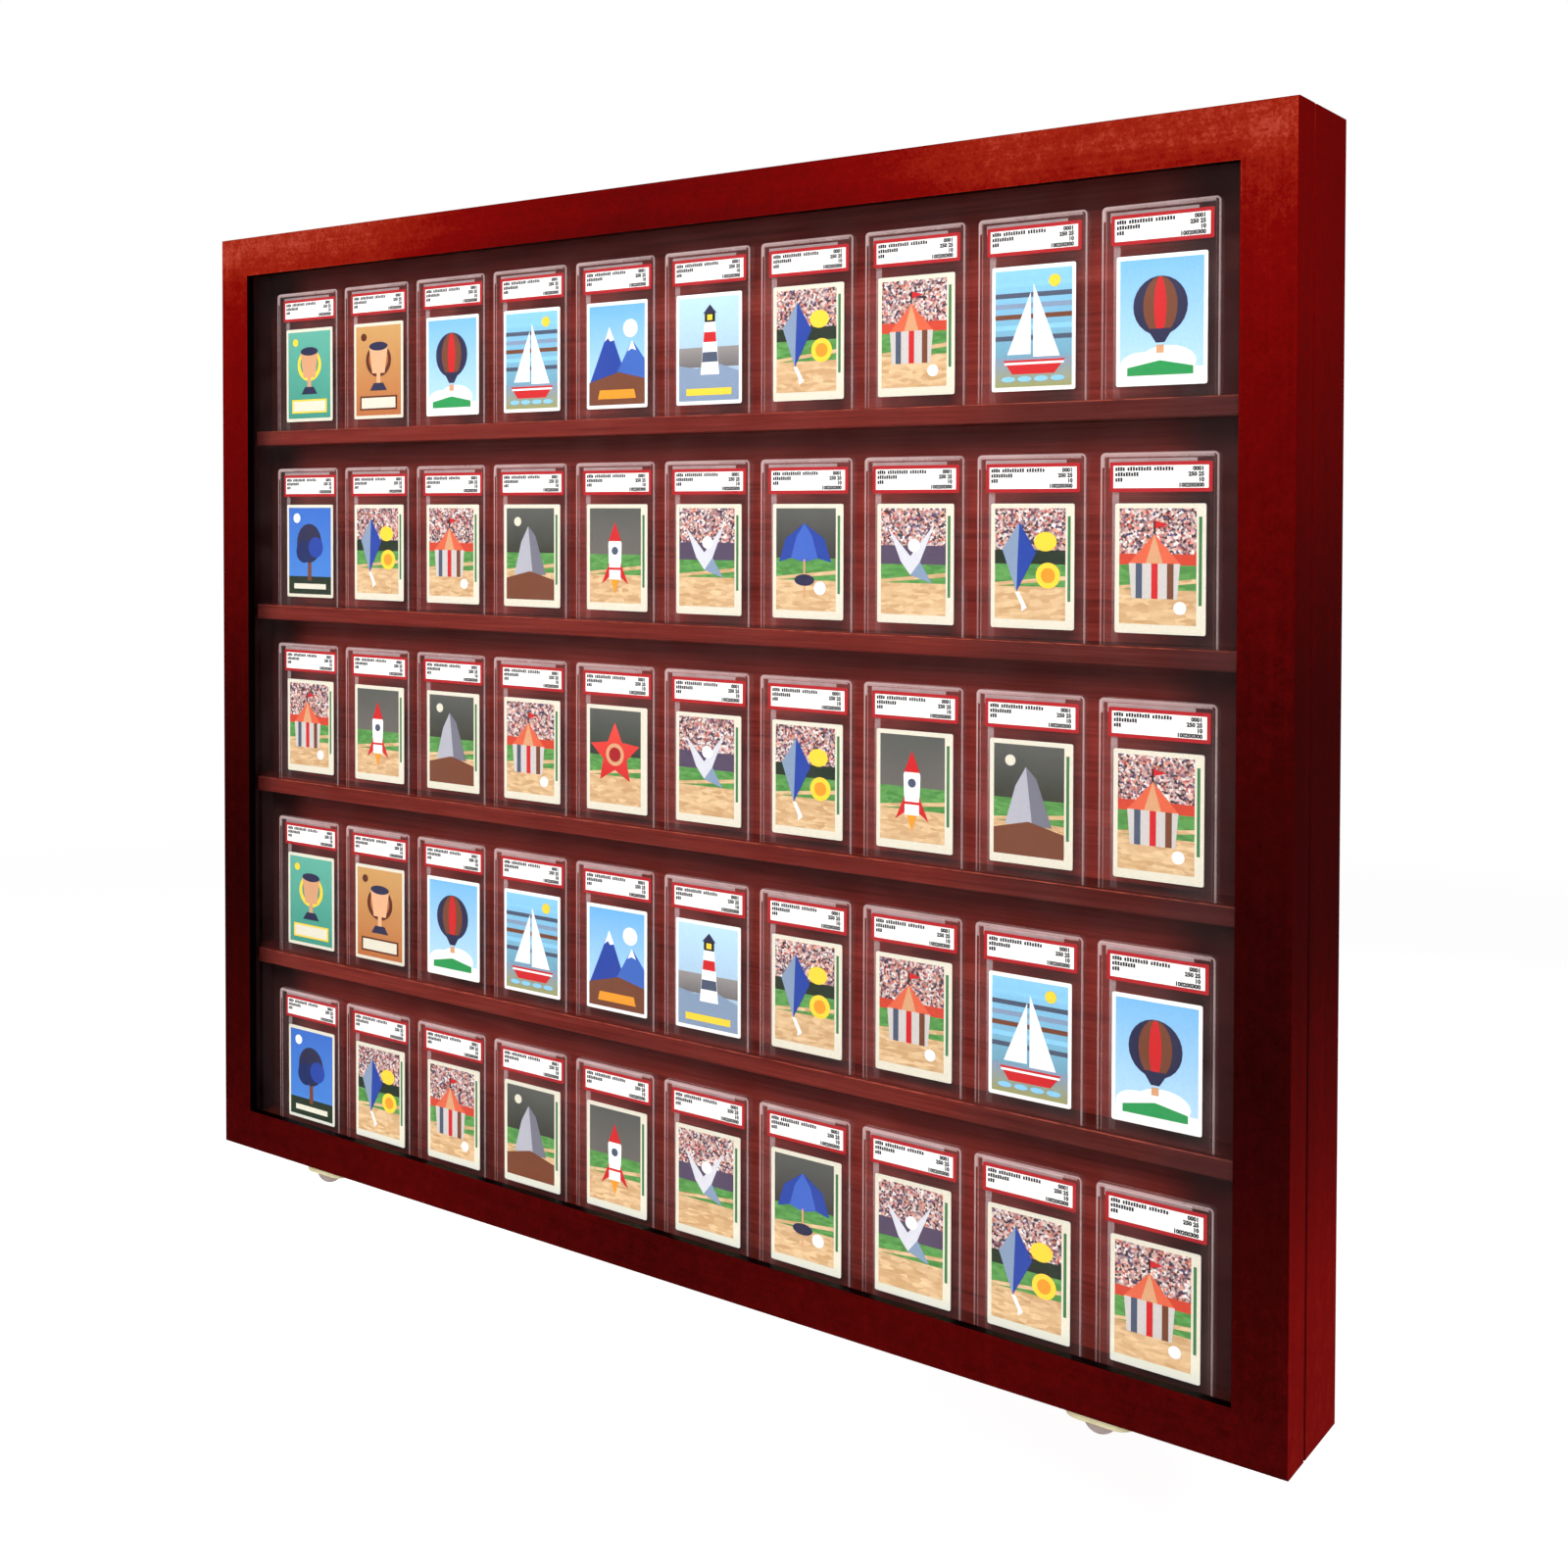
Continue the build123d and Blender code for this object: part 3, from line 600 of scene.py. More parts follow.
# Profile of a holder from the rim's inner edge outwards: inset, distance from the seam, and the finish of
# the strip that leads to the next point. The back half repeats it in reverse, without painted highlights. A
# RIM strip carries a painted highlight along the top and at the top left corner only.
HALF_PROFILE = (
    (3.5, WINDOW_DEPTH, EDGE),
    (3.0, HALF_THICKNESS, RIM),
    (1.5, HALF_THICKNESS, LINE),
    (0.45, HALF_THICKNESS, EDGE),
    (0.0, 2.8, CLEAR),
    (0.0, 0.2, RIM),
    (0.15, 0.0, RIM),
)
# Painted highlight at a holder's bottom left, bottom right, top right and top left corners
RIM_SHEEN = (0.08, 0.14, 0.18, 0.24)
# The left side of a RIM strip carries the painted highlight only where its tint is above this, which is near
# the top
CORNER_LEAST_TINT = 0.2315
# Grid of the back window, in millimetres, and its painted highlight row by row
BAND_COLUMNS = (4.0, 6.5, 11.3, 66.0, 79.0)
BAND_ROWS = (4.0, 45.0, 101.5, 119.0, 126.0, 132.5)
BAND_SHEEN = (0.04, 0.12, 0.24, 0.30, 0.36, 0.36)


def tints(count, sheen):
    """The same highlight level for several points, as colours."""
    return [(sheen, sheen, sheen, 1.0)] * count


def strip_look(finish, side, count):
    """The material of one face of a rim strip. Sides are counted anticlockwise from the bottom left."""
    if finish != RIM:
        return finish
    if side == count - 1:
        return CORNER
    return RIM if side >= 3 * count // 4 - 1 else CLEAR


def holder(mesh, place):
    """A closed clear holder with a raised rim on both faces and a seam groove round its sides.

    The window of its back has bands on the left and across the top with a painted highlight, where moulded
    steps would catch the light.
    """
    x, y, z = place

    def at(u, v, depth):
        return (x + u * MM, y + depth * MM, z + v * MM)

    profile = [(inset, -depth, finish) for inset, depth, finish in HALF_PROFILE]
    profile += [(inset, depth, CLEAR) for inset, depth, _ in reversed(HALF_PROFILE[:-1])]
    count = 4 * (CORNER_STEPS + 1)
    rim_tints = [tint for sheen in RIM_SHEEN for tint in tints(count // 4, sheen)]
    loops = []
    for inset, depth, _ in profile:
        outline = rounded(SLAB_WIDTH, SLAB_HEIGHT, SLAB_CORNER, inset)
        loops.append(mesh.add_points([at(u, v, depth) for u, v in outline], rim_tints))
    for first, second, (_, _, finish) in zip(loops, loops[1:], profile):
        for k in range(count):
            after = (k + 1) % count
            corners = (first + k, first + after, second + after, second + k)
            mesh.add_face(corners, strip_look(finish, k, count))
    mesh.add_face([loops[0] + k for k in range(count)], CLEAR)
    banded_window(mesh, at, loops[-1], count)


def banded_window(mesh, at, loop, count):
    """The back window: a grid whose left and top bands carry a painted highlight, joined to the rim's loop.
    """
    ids = {}
    for j, v in enumerate(BAND_ROWS):
        for i, u in enumerate(BAND_COLUMNS):
            ids[i, j] = mesh.add_points([at(u, v, WINDOW_DEPTH)], tints(1, BAND_SHEEN[j]))
    last_i, last_j = len(BAND_COLUMNS) - 1, len(BAND_ROWS) - 1
    for j in range(last_j):
        for i in range(last_i):
            on_left = i == 1
            on_top = j == last_j - 1 and i < last_i - 1
            corners = (ids[i, j], ids[i + 1, j], ids[i + 1, j + 1], ids[i, j + 1])
            mesh.add_face(corners, BAND if on_left or on_top else CLEAR)
    per_corner = count // 4
    sides = (
        [ids[i, 0] for i in range(last_i + 1)],
        [ids[last_i, j] for j in range(last_j + 1)],
        [ids[i, last_j] for i in reversed(range(last_i + 1))],
        [ids[0, j] for j in reversed(range(last_j + 1))],
    )
    for corner, side in enumerate(sides):
        arc = [loop + corner * per_corner + k for k in range(per_corner)]
        following = loop + ((corner + 1) % 4) * per_corner
        for first, second in zip(arc, arc[1:]):
            mesh.add_face((first, second, side[0]), CLEAR)
        mesh.add_face([arc[-1], following, *reversed(side)], CLEAR)


# --- Prints

# Places in PRINT_MATERIALS
INK, CROWD, TURF, EARTH = range(4)


class Print:
    """Flat printed shapes on one card or label, each a thin closed plate on top of the ones before."""

    def __init__(self, mesh, x, y, z):
        self.mesh = mesh
        self.x = x
        self.y = y
        self.z = z
        self.layer = 0

    def plate(self, outline, ink, fade=None, slot=INK):
        """A plate with an anticlockwise outline in millimetres. fade is a second colour for its top."""
        self.layer += 1
        front = self.y - self.layer * PRINT_STEP * MM
        heights = [v for _, v in outline]
        low, high = min(heights), max(heights)
        top = fade or ink
        inks = []
        for height in heights:
            share = (height - low) / (high - low) if fade else 0.0
            inks.append(tuple(a + (b - a) * share for a, b in zip(ink, top)))
        count = len(outline)
        points = [(self.x + u * MM, y, self.z + v * MM) for y in (front, self.y) for u, v in outline]
        start = self.mesh.add_points(points, inks * 2)
        self.mesh.add_face(range(start, start + count), slot)
        self.mesh.add_face(reversed(range(start + count, start + 2 * count)), slot)
        for k in range(count):
            after = (k + 1) % count
            self.mesh.add_face((start + k, start + count + k, start + count + after, start + after), slot)

    def box(self, u0, v0, u1, v1, ink, fade=None, slot=INK):
        self.plate([(u0, v0), (u1, v0), (u1, v1), (u0, v1)], ink, fade, slot)

    def disc(self, u, v, radius, ink, squash=1.0, sides=20):
        points = []
        for k in range(sides):
            angle = 2 * math.pi * k / sides
            points.append((u + radius * math.cos(angle), v + radius * squash * math.sin(angle)))
        self.plate(points, ink)


WHITE = srgb(246, 246, 243)
CREAM = srgb(219, 213, 194)
BLACK = srgb(30, 28, 32)
RED = srgb(196, 34, 38)
LABEL_RED = srgb(169, 26, 33)
NAVY = srgb(44, 46, 74)
ROYAL = srgb(36, 66, 152)
SKY = srgb(116, 178, 226)
PALE_SKY = srgb(178, 212, 238)
LIGHT_BLUE = srgb(132, 194, 232)
TEAL = srgb(62, 142, 124)
GREEN = srgb(40, 144, 78)
BAR_GREEN = srgb(60, 116, 70)
DARK_GREEN = srgb(38, 52, 40)
BROWN = srgb(112, 66, 46)
SKIN_TAN = srgb(206, 152, 112)
RUST = srgb(178, 104, 58)
ORANGE = srgb(230, 146, 40)
YELLOW = srgb(240, 202, 58)
STEEL_BLUE = srgb(126, 146, 172)
SLATE = srgb(74, 84, 104)
FENCE = srgb(196, 66, 46)

# Edges of the picture on a bordered card and on a sporting card
LEFT, FOOT, RIGHT, HEAD = 2.6, 3.0, 60.9, 86.0
FIELD_LEFT, FIELD_FOOT, FIELD_RIGHT, FIELD_HEAD = 3.2, 6.4, 57.0, 85.6


def picture_field(card, ink, fade, border=WHITE):
    """The card's border and the ground of its picture."""
    card.plate(rounded(CARD_WIDTH, CARD_HEIGHT, CARD_CORNER, CARD_INSET), border)
    card.box(LEFT, FOOT, RIGHT, HEAD, ink, fade)


def sporting_field(card, back, bar=True):
    """A cream card with a crowd or wall, a fence, turf and earth, and a bar down its right side."""
    card.plate(rounded(CARD_WIDTH, CARD_HEIGHT, CARD_CORNER, CARD_INSET), CREAM)
    if bar:
        card.box(58.6, 20.0, 60.8, 80.0, BAR_GREEN)
    if back is CROWD:
        card.box(FIELD_LEFT, 52.0, FIELD_RIGHT, FIELD_HEAD, WHITE, slot=CROWD)
        card.box(FIELD_LEFT, 46.0, FIELD_RIGHT, 54.5, FENCE)
    else:
        card.box(FIELD_LEFT, 40.0, FIELD_RIGHT, FIELD_HEAD, back, srgb(86, 88, 84))
    card.box(FIELD_LEFT, 26.0, FIELD_RIGHT, 47.0, GREEN, slot=TURF)
    card.box(FIELD_LEFT, FIELD_FOOT, FIELD_RIGHT, 30.0, RUST, slot=EARTH)
    path = [(FIELD_LEFT, 30.0), (FIELD_RIGHT, 35.0), (FIELD_RIGHT, 38.0), (FIELD_LEFT, 32.5)]
    card.plate(path, RUST, slot=EARTH)


def balloon(card):
    """A striped balloon over clouds."""
    picture_field(card, PALE_SKY, SKY)
    card.disc(36, 16, 20, WHITE, 0.55)
    card.disc(18, 14, 15, WHITE, 0.6)
    card.box(LEFT, FOOT, RIGHT, 12, WHITE)
    card.disc(31, 54, 19, NAVY, 1.06, 26)
    card.disc(31, 54, 12, BROWN, 1.66, 22)
    card.disc(31, 54, 4.4, RED, 4.5, 20)
    card.plate([(22, 38.5), (40, 38.5), (34, 29), (28, 29)], NAVY)
    card.box(28.4, 22, 33.6, 27.5, SKIN_TAN)
    card.plate([(8, 7), (54, 7), (54, 12.5), (31, 17), (8, 12.5)], GREEN)


def sailboat(card):
    """A sailing boat before a striped shore."""
    picture_field(card, srgb(96, 140, 152), LIGHT_BLUE)
    for number, ink in enumerate((SLATE, LIGHT_BLUE, BROWN, STEEL_BLUE, SLATE, LIGHT_BLUE)):
        card.box(LEFT, 36 + 7.6 * number, RIGHT, 39.4 + 7.6 * number, ink)
    card.box(LEFT, FOOT, RIGHT, 24, srgb(150, 150, 96), STEEL_BLUE)
    card.plate([(32, 24), (52, 24), (32, 76)], WHITE)
    card.plate([(30, 26), (30, 70), (12, 26)], srgb(226, 232, 240))
    card.plate([(9, 22), (16, 12), (48, 12), (56, 22)], RED)
    card.box(10, 18.8, 55, 20.4, WHITE)
    card.disc(48, 77, 4.4, YELLOW)
    for number in range(4):
        card.disc(13 + 12.5 * number, 8.5, 5.4, LIGHT_BLUE, 0.36, 14)


def mountains(card):
    """Blue mountains under a clear sky with a low sun."""
    picture_field(card, PALE_SKY, srgb(104, 170, 226))
    card.disc(46, 66, 7.5, WHITE)
    card.plate([(LEFT, 20), (44, 20), (24, 68)], ROYAL)
    card.plate([(26, 20), (RIGHT, 20), (RIGHT, 40), (48, 56)], srgb(58, 98, 178))
    card.plate([(19, 56), (22.5, 59), (25, 56), (29, 57), (24, 68)], WHITE)
    card.plate([(43.5, 47), (47.5, 49), (52, 47.5), (48, 56)], WHITE)
    card.plate([(LEFT, FOOT), (RIGHT, FOOT), (RIGHT, 24), (34, 30), (LEFT, 22)], BROWN)
    card.plate([(12, 8), (52, 8), (50, 15.5), (14, 15.5)], ORANGE)


def lighthouse(card):
    """A banded lighthouse on grey rocks."""
    picture_field(card, srgb(150, 172, 190), PALE_SKY)
    card.box(LEFT, 30, RIGHT, 46, srgb(108, 104, 104), srgb(142, 138, 136))
    card.plate([(LEFT, FOOT), (RIGHT, FOOT), (RIGHT, 26), (40, 33), (20, 29), (LEFT, 32)], STEEL_BLUE)
    card.plate([(24, 24), (42, 24), (38, 66), (28, 66)], WHITE)
    card.plate([(25.2, 34), (40.8, 34), (40, 42), (26, 42)], SLATE)
    card.plate([(26.7, 50), (39.3, 50), (38.6, 58), (27.4, 58)], RED)
    card.box(28, 66, 38, 73, BLACK)
    card.box(30.5, 67.5, 35.5, 72, YELLOW)
    card.plate([(26.5, 73), (39.5, 73), (33, 80)], NAVY)
    card.plate([(10, 7.5), (54, 7.5), (54, 13), (10, 13)], YELLOW)


def cup(card, ground, fade, cup_ink, bar_ink):
    """A two-handled cup on a stand, with a blank plaque."""
    picture_field(card, ground, fade, CREAM)
    card.disc(32, 54, 16.5, bar_ink, 0.94, 22)
    card.disc(32, 55, 12.5, ground, 1.0, 22)
    card.plate([(20, 66), (24, 42), (40, 42), (44, 66)], cup_ink)
    card.disc(32, 67, 12, NAVY, 0.34, 20)
    card.box(29.6, 32, 34.4, 43, cup_ink)
    card.plate([(21, 26), (43, 26), (38, 33), (26, 33)], NAVY)
    card.box(8, 8, 56, 21, bar_ink)
    card.box(10, 9.6, 54, 19.4, CREAM)
    card.disc(13, 76, 3.6, bar_ink)


def teal_cup(card):
    cup(card, TEAL, srgb(92, 168, 150), SKIN_TAN, YELLOW)


def rust_cup(card):
    cup(card, RUST, srgb(196, 150, 92), srgb(222, 168, 128), srgb(90, 44, 30))


def kite(card):
    """A grey-blue kite with yellow discs before a crowd."""
    sporting_field(card, CROWD)
    card.box(FIELD_LEFT, 46, FIELD_RIGHT, 56, DARK_GREEN)
    card.disc(42, 62, 8.6, YELLOW, 0.8)
    card.disc(44, 38, 9.2, YELLOW)
    card.disc(44, 38, 5.4, ORANGE)
    card.plate([(22, 76), (9, 56), (20, 26), (35, 54)], STEEL_BLUE)
    card.plate([(22, 76), (20, 26), (35, 54)], ROYAL)
    card.plate([(19, 26), (22, 26), (28, 15), (24, 12), (24, 16)], WHITE)


def pavilion(card):
    """A striped tent on the grass before a crowd."""
    sporting_field(card, CROWD)
    card.plate([(10, 48), (46, 48), (28, 68)], srgb(214, 96, 66))
    card.plate([(22, 48), (34, 48), (28, 68)], SKIN_TAN)
    card.plate([(12, 24), (44, 24), (46, 48), (10, 48)], srgb(196, 190, 186))
    for number in range(3):
        card.box(15 + 11 * number, 24, 19.5 + 11 * number, 48, (SLATE, RED, BROWN)[number])
    card.box(27.4, 68, 28.6, 77, BLACK)
    card.plate([(28.6, 72), (38, 74.5), (28.6, 77)], RED)
    card.disc(46, 18, 4.4, WHITE)


def rocks(card):
    """A grey peak over brown earth."""
    sporting_field(card, srgb(52, 54, 44))
    card.plate([(12, 28), (48, 28), (36, 62), (28, 70), (20, 56)], srgb(170, 170, 180))
    card.plate([(28, 70), (36, 62), (48, 28), (33, 28)], srgb(112, 112, 124))
    card.plate([
        (FIELD_LEFT, FIELD_FOOT), (FIELD_RIGHT, FIELD_FOOT), (FIELD_RIGHT, 24), (30, 31), (FIELD_LEFT, 25),
    ], BROWN)
    card.disc(16, 74, 4.0, CREAM)


def rocket(card):
    """A white rocket with red fins on a grey ground."""
    sporting_field(card, srgb(104, 98, 94))
    card.plate([(24, 26), (36, 26), (37, 56), (30, 74), (23, 56)], WHITE)
    card.plate([(23.4, 58), (36.6, 58), (30, 74)], RED)
    card.plate([(16, 22), (24, 28), (24, 40)], RED)
    card.plate([(44, 22), (36, 40), (36, 28)], RED)
    card.disc(30, 50, 3.4, SLATE)
    card.box(24, 34, 36, 36, RED)
    card.plate([(26, 26), (30, 14), (34, 26)], ORANGE)


def star(card):
    """A large red star with a tan middle on dark green."""
    sporting_field(card, DARK_GREEN, bar=False)
    points = []
    for k in range(10):
        radius = 27.0 if k % 2 == 0 else 13.0
        angle = math.radians(90 + 36 * k)
        points.append((30 + radius * math.cos(angle), 48 + radius * math.sin(angle)))
    card.plate(points, RED, srgb(222, 72, 60))
    card.disc(30, 48, 9.5, SKIN_TAN)
    card.disc(30, 48, 6.2, srgb(156, 26, 34))


def gull(card):
    """A pale bird over turf."""
    sporting_field(card, srgb(70, 62, 84))
    card.box(FIELD_LEFT, 50, FIELD_RIGHT, FIELD_HEAD, WHITE, slot=CROWD)
    card.box(FIELD_LEFT, 44, FIELD_RIGHT, 58, srgb(82, 70, 92))
    card.plate([(28, 50), (10, 70), (20, 46), (28, 36), (46, 30), (36, 46), (48, 74)], srgb(206, 206, 214))
    card.plate([(28, 36), (46, 30), (36, 46)], STEEL_BLUE)
    card.disc(31, 58, 5.0, WHITE)


def umbrella(card):
    """A blue umbrella on a dark ground."""
    sporting_field(card, srgb(54, 50, 48))
    card.plate([(6, 44), (17, 47), (29, 44), (41, 47), (53, 44), (47, 62), (29, 74), (12, 62)], ROYAL)
    card.plate([(17, 47), (29, 44), (41, 47), (36, 64), (29, 74), (22, 64)], srgb(60, 96, 184))
    card.box(28.2, 16, 29.8, 46, SKIN_TAN)
    card.disc(29, 30, 9.0, NAVY, 0.5)
    card.disc(43, 24, 5.2, WHITE)


def dusk_tree(card):
    """A dark blue tree on a bright sky."""
    picture_field(card, srgb(70, 128, 204), srgb(54, 104, 190), CREAM)
    card.box(LEFT, FOOT, RIGHT, 20, DARK_GREEN)
    card.box(29, 16, 34, 36, BROWN)
    card.disc(31, 52, 17, NAVY, 1.1, 24)
    card.disc(24, 44, 11, srgb(32, 46, 92))
    card.disc(40, 48, 10, ROYAL)
    card.disc(14, 76, 4.6, WHITE)
    card.box(10, 8, 54, 13, CREAM)


COLOURED_ROW = (
    teal_cup, rust_cup, balloon, sailboat, mountains, lighthouse, kite, pavilion, sailboat, balloon,
)
MIXED_ROW = (dusk_tree, kite, pavilion, rocks, rocket, gull, umbrella, gull, kite, pavilion)
MIDDLE_ROW = (pavilion, rocket, rocks, pavilion, star, gull, kite, rocket, rocks, pavilion)
# The design of each card, row by row from the top
ROW_DESIGNS = (COLOURED_ROW, MIXED_ROW, MIDDLE_ROW, COLOURED_ROW, MIXED_ROW)


# --- Labels, in millimetres: unreadable words at the left and lines of digits at the right

DIGIT_LINES = ("0001", "250 25", "10", "100200300")
DIGIT_HEIGHT = 3.9
DIGIT_BOLDNESS = 0.26
DIGITS_MARGIN = 3.0
# Lengths of the words, line by line
GREEKED_LINES = ((7.0, 17.2, 14.0), (16.8,), (5.4,))
WORDS_LEFT = 4.0
WORD_GAP = 1.6
LETTER_PITCH = 1.9
LETTER_WIDTH = 1.45
LETTER_HEIGHTS = (2.4, 2.8, 2.8)
LINE_PITCH = 3.7
FIRST_LINE_DROP = 3.6


def digit_mesh(text):
    """Points and faces of one line of digits, in millimetres, right-aligned at the origin."""
    curve = bpy.data.curves.new("digits", "FONT")
    curve.body = text
    curve.size = DIGIT_HEIGHT
    curve.align_x = "RIGHT"
    curve.resolution_u = 2
    curve.offset = DIGIT_BOLDNESS
    curve.extrude = PRINT_STEP / 2
    carrier = bpy.data.objects.new("digits", curve)
    bpy.context.scene.collection.objects.link(carrier)
    bpy.context.view_layer.update()
    data = bpy.data.meshes.new_from_object(carrier.evaluated_get(bpy.context.evaluated_depsgraph_get()))
    points = [tuple(vertex.co) for vertex in data.vertices]
    faces = [tuple(polygon.vertices) for polygon in data.polygons]
    bpy.data.objects.remove(carrier)
    bpy.data.meshes.remove(data)
    bpy.data.curves.remove(curve)
    return points, faces


digit_meshes = [digit_mesh(text) for text in DIGIT_LINES]


def greeked_word(label, left, foot, length):
    """A row of small marks in place of a word, all in the layer on the label's white field."""
    letters = max(2, round(length / LETTER_PITCH))
    for k in range(letters):
        label.layer = 1
        mark_left = left + k * length / letters
        mark_top = foot + LETTER_HEIGHTS[k % len(LETTER_HEIGHTS)]
        label.box(mark_left, foot, mark_left + LETTER_WIDTH, mark_top, BLACK)


def label_print(mesh, x, y, z):
    """The white field of a label, with rows of small marks at its left and lines of digits at its right."""
    label = Print(mesh, x, y, z)
    right, top = LABEL_WIDTH - LABEL_BORDER, LABEL_HEIGHT - LABEL_BORDER
    label.box(LABEL_BORDER, LABEL_BORDER, right, top, WHITE)
    for number, words in enumerate(GREEKED_LINES):
        u = WORDS_LEFT
        for length in words:
            greeked_word(label, u, top - FIRST_LINE_DROP - number * LINE_PITCH, length)
            u += length + WORD_GAP
    ink_y = y - 2 * PRINT_STEP * MM
    for number, (points, faces) in enumerate(digit_meshes):
        u = right - DIGITS_MARGIN
        v = top - FIRST_LINE_DROP - number * LINE_PITCH
        inked = [(x + (u + px) * MM, ink_y + pz * MM, z + (v + py) * MM) for px, py, pz in points]
        start = mesh.add_points(inked, [BLACK] * len(inked))
        for face in faces:
            mesh.add_face([start + k for k in face], INK)


# --- Materials of the carried-over parts

WOOD_ALONG_X = frame_wood("frame_wood_level", "X")
WOOD_ALONG_Z = frame_wood("frame_wood_upright", "Z")
# Dark, middle and light tones of the stain inside the case
BACK_STAIN = (srgb(102, 35, 30), srgb(134, 49, 42), srgb(154, 64, 56))
SHELF_STAIN = (srgb(76, 24, 21), srgb(101, 35, 29), srgb(119, 46, 38))
STILE_FACE = frame_wood("frame_wood_stile_face", "Z", sight_edge=True)
NODE_MATERIALS = {
    "door_face_top": frame_wood("frame_wood_top_face", "X", TOP_RAIL_SHEEN_TONES, sight_edge=True),
    "door_face_bottom": frame_wood("frame_wood_bottom_face", "X", BOTTOM_RAIL_LIGHT_TONES, sight_edge=True),
    "door_face_left": STILE_FACE,
    "door_face_right": STILE_FACE,
    "glazing": see_through("clear_glazing", 0.03, 0.55, milk_and_sheen_range=(0.0, 0.003)),
    "back_panel": interior_wood("interior_wood_back", *BACK_STAIN, side_shade_depth=0.9, bay_shade=True),
}
for board in SHELF_BOARDS:
    board_low, board_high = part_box(board)
    NODE_MATERIALS[board] = interior_wood(
        f"interior_wood_{board}", *SHELF_STAIN, side_shade_depth=0.45, highlight_edge=(board_low.y, board_high.z)
    )
ROW_MATERIALS = {
    "cards_row": printed("card_stock", 0.5, srgb(236, 234, 226)),
    "labels_row": printed("label_border", 0.45, LABEL_RED),
}
SLOT_MATERIALS = {
    "brass": metal("pale_brass", srgb(236, 228, 188), srgb(206, 192, 146), 0.25, 0.30),
    "nickel": metal("satin_nickel", srgb(216, 196, 190), srgb(168, 148, 144), 0.40, 0.30),
    "steel": metal("zinc_steel", srgb(184, 182, 176), srgb(136, 134, 130), 0.6, 0.3),
}


def material_for(node, slot):
    """The finish of a carried-over part, by its name and its material slot."""
    if node in NODE_MATERIALS:
        return NODE_MATERIALS[node]
    for family, material in ROW_MATERIALS.items():
        if node.startswith(family):
            return material
    if slot in SLOT_MATERIALS:
        return SLOT_MATERIALS[slot]
    upright = "left" in node or "right" in node
    return WOOD_ALONG_Z if upright else WOOD_ALONG_X


node_slots = {part["node"]: part["material_slot"] for part in frame["record"]["subparts"]}
for name, item in frame["nodes"].items():
    item.data.materials.clear()
    item.data.materials.append(material_for(name, node_slots[name]))

# --- Card holders, card prints and label prints, a piece per row

# The rim, line, edge, band and corner finishes paint highlights in milky white; the window's faint cloudiness
# is the plastic's own
HOLDER_MATERIALS = [
    see_through("holder_window", 0.04, 0.5, milk_and_sheen_range=(0.008, 0.016)),
    see_through("holder_rim", 0.12, 0.9, milk_and_sheen_range=(1.4, 1.8), tinted=True),
    see_through("holder_line", 0.12, 0.9, milk_and_sheen_range=(1.7, 2.1), tinted=True),
    see_through("holder_edge", 0.2, 1.0, milk_and_sheen_range=(0.18, 0.26)),
    sheen_band("holder_band"),
    see_through("holder_corner", 0.12, 0.9, milk_and_sheen_range=(1.4, 1.8), tinted=True, least_tint=CORNER_LEAST_TINT),
]
CROWD_INKS = [
    (0.0, srgb(96, 66, 70)),
    (0.2, srgb(214, 190, 182)),
    (0.36, srgb(240, 236, 232)),
    (0.5, srgb(178, 62, 58)),
    (0.64, srgb(228, 172, 148)),
    (0.78, srgb(70, 76, 120)),
    (0.9, srgb(58, 44, 44)),
]
TURF_INKS = [(0.0, srgb(70, 126, 62)), (1.0, srgb(98, 158, 84))]
EARTH_INKS = [(0.0, srgb(188, 148, 104)), (1.0, srgb(224, 192, 150))]
PRINT_MATERIALS = [
    printed("card_inks", 0.4),
    printed_pattern("crowd_print", 620.0, CROWD_INKS),
    printed_pattern("turf_print", 500.0, TURF_INKS, stretch=(0.35, 1.0, 1.0)),
    printed_pattern("earth_print", 420.0, EARTH_INKS, stretch=(0.3, 1.0, 1.0)),
]
for row, designs in enumerate(ROW_DESIGNS, start=1):
    low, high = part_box(f"holder_fronts_row_{row}")
    pitch = (high.x - low.x - SLAB_WIDTH * MM) / (COLUMNS - 1)
    card_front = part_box(f"cards_row_{row}")[0].y
    label_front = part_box(f"labels_row_{row}")[0].y
    card_bottom = high.z - (CARD_DROP + CARD_HEIGHT) * MM
    label_bottom = high.z - (LABEL_DROP + LABEL_HEIGHT) * MM
    holders, art, labels = Mesh(), Mesh(), Mesh()
    for column, design in enumerate(designs):
        left = low.x + column * pitch
        holder(holders, (left, high.y, low.z))
        card_left = left + (SLAB_WIDTH - CARD_WIDTH) / 2 * MM
        design(Print(art, card_left, card_front, card_bottom))
        label_left = left + (SLAB_WIDTH - LABEL_WIDTH) / 2 * MM
        label_print(labels, label_left, label_front, label_bottom)
    shells = ("holder_fronts_row", "holder_backs_row")
    made = (
        (holders, "card_holders_row", HOLDER_MATERIALS, "holder_plastic", shells),
        (art, "card_prints_row", PRINT_MATERIALS, "card_stock", ()),
        (labels, "label_prints_row", PRINT_MATERIALS[:1], "label_paper", ()),
    )
    for mesh, name, materials, slot, replaced in made:
        item = mesh.to_object(f"{name}_{row}", materials, tidy_normals=bool(replaced))
        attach(item, "case")
        item.visible_shadow = not replaced
        for prefix in replaced:
            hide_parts(f"{prefix}_{row}")

# Clear plastic throws no visible shadow
frame["nodes"]["glazing"].visible_shadow = False

# --- Floor, light and camera

FLOOR_DROP = 0.45
FLOOR_RADIUS = 14.0
FLOOR_SIDES = 64
FLOOR_GREY = (0.62, 0.62, 0.62, 1.0)
PURE_BLACK = (0.0, 0.0, 0.0, 1.0)
PURE_WHITE = (1.0, 1.0, 1.0, 1.0)
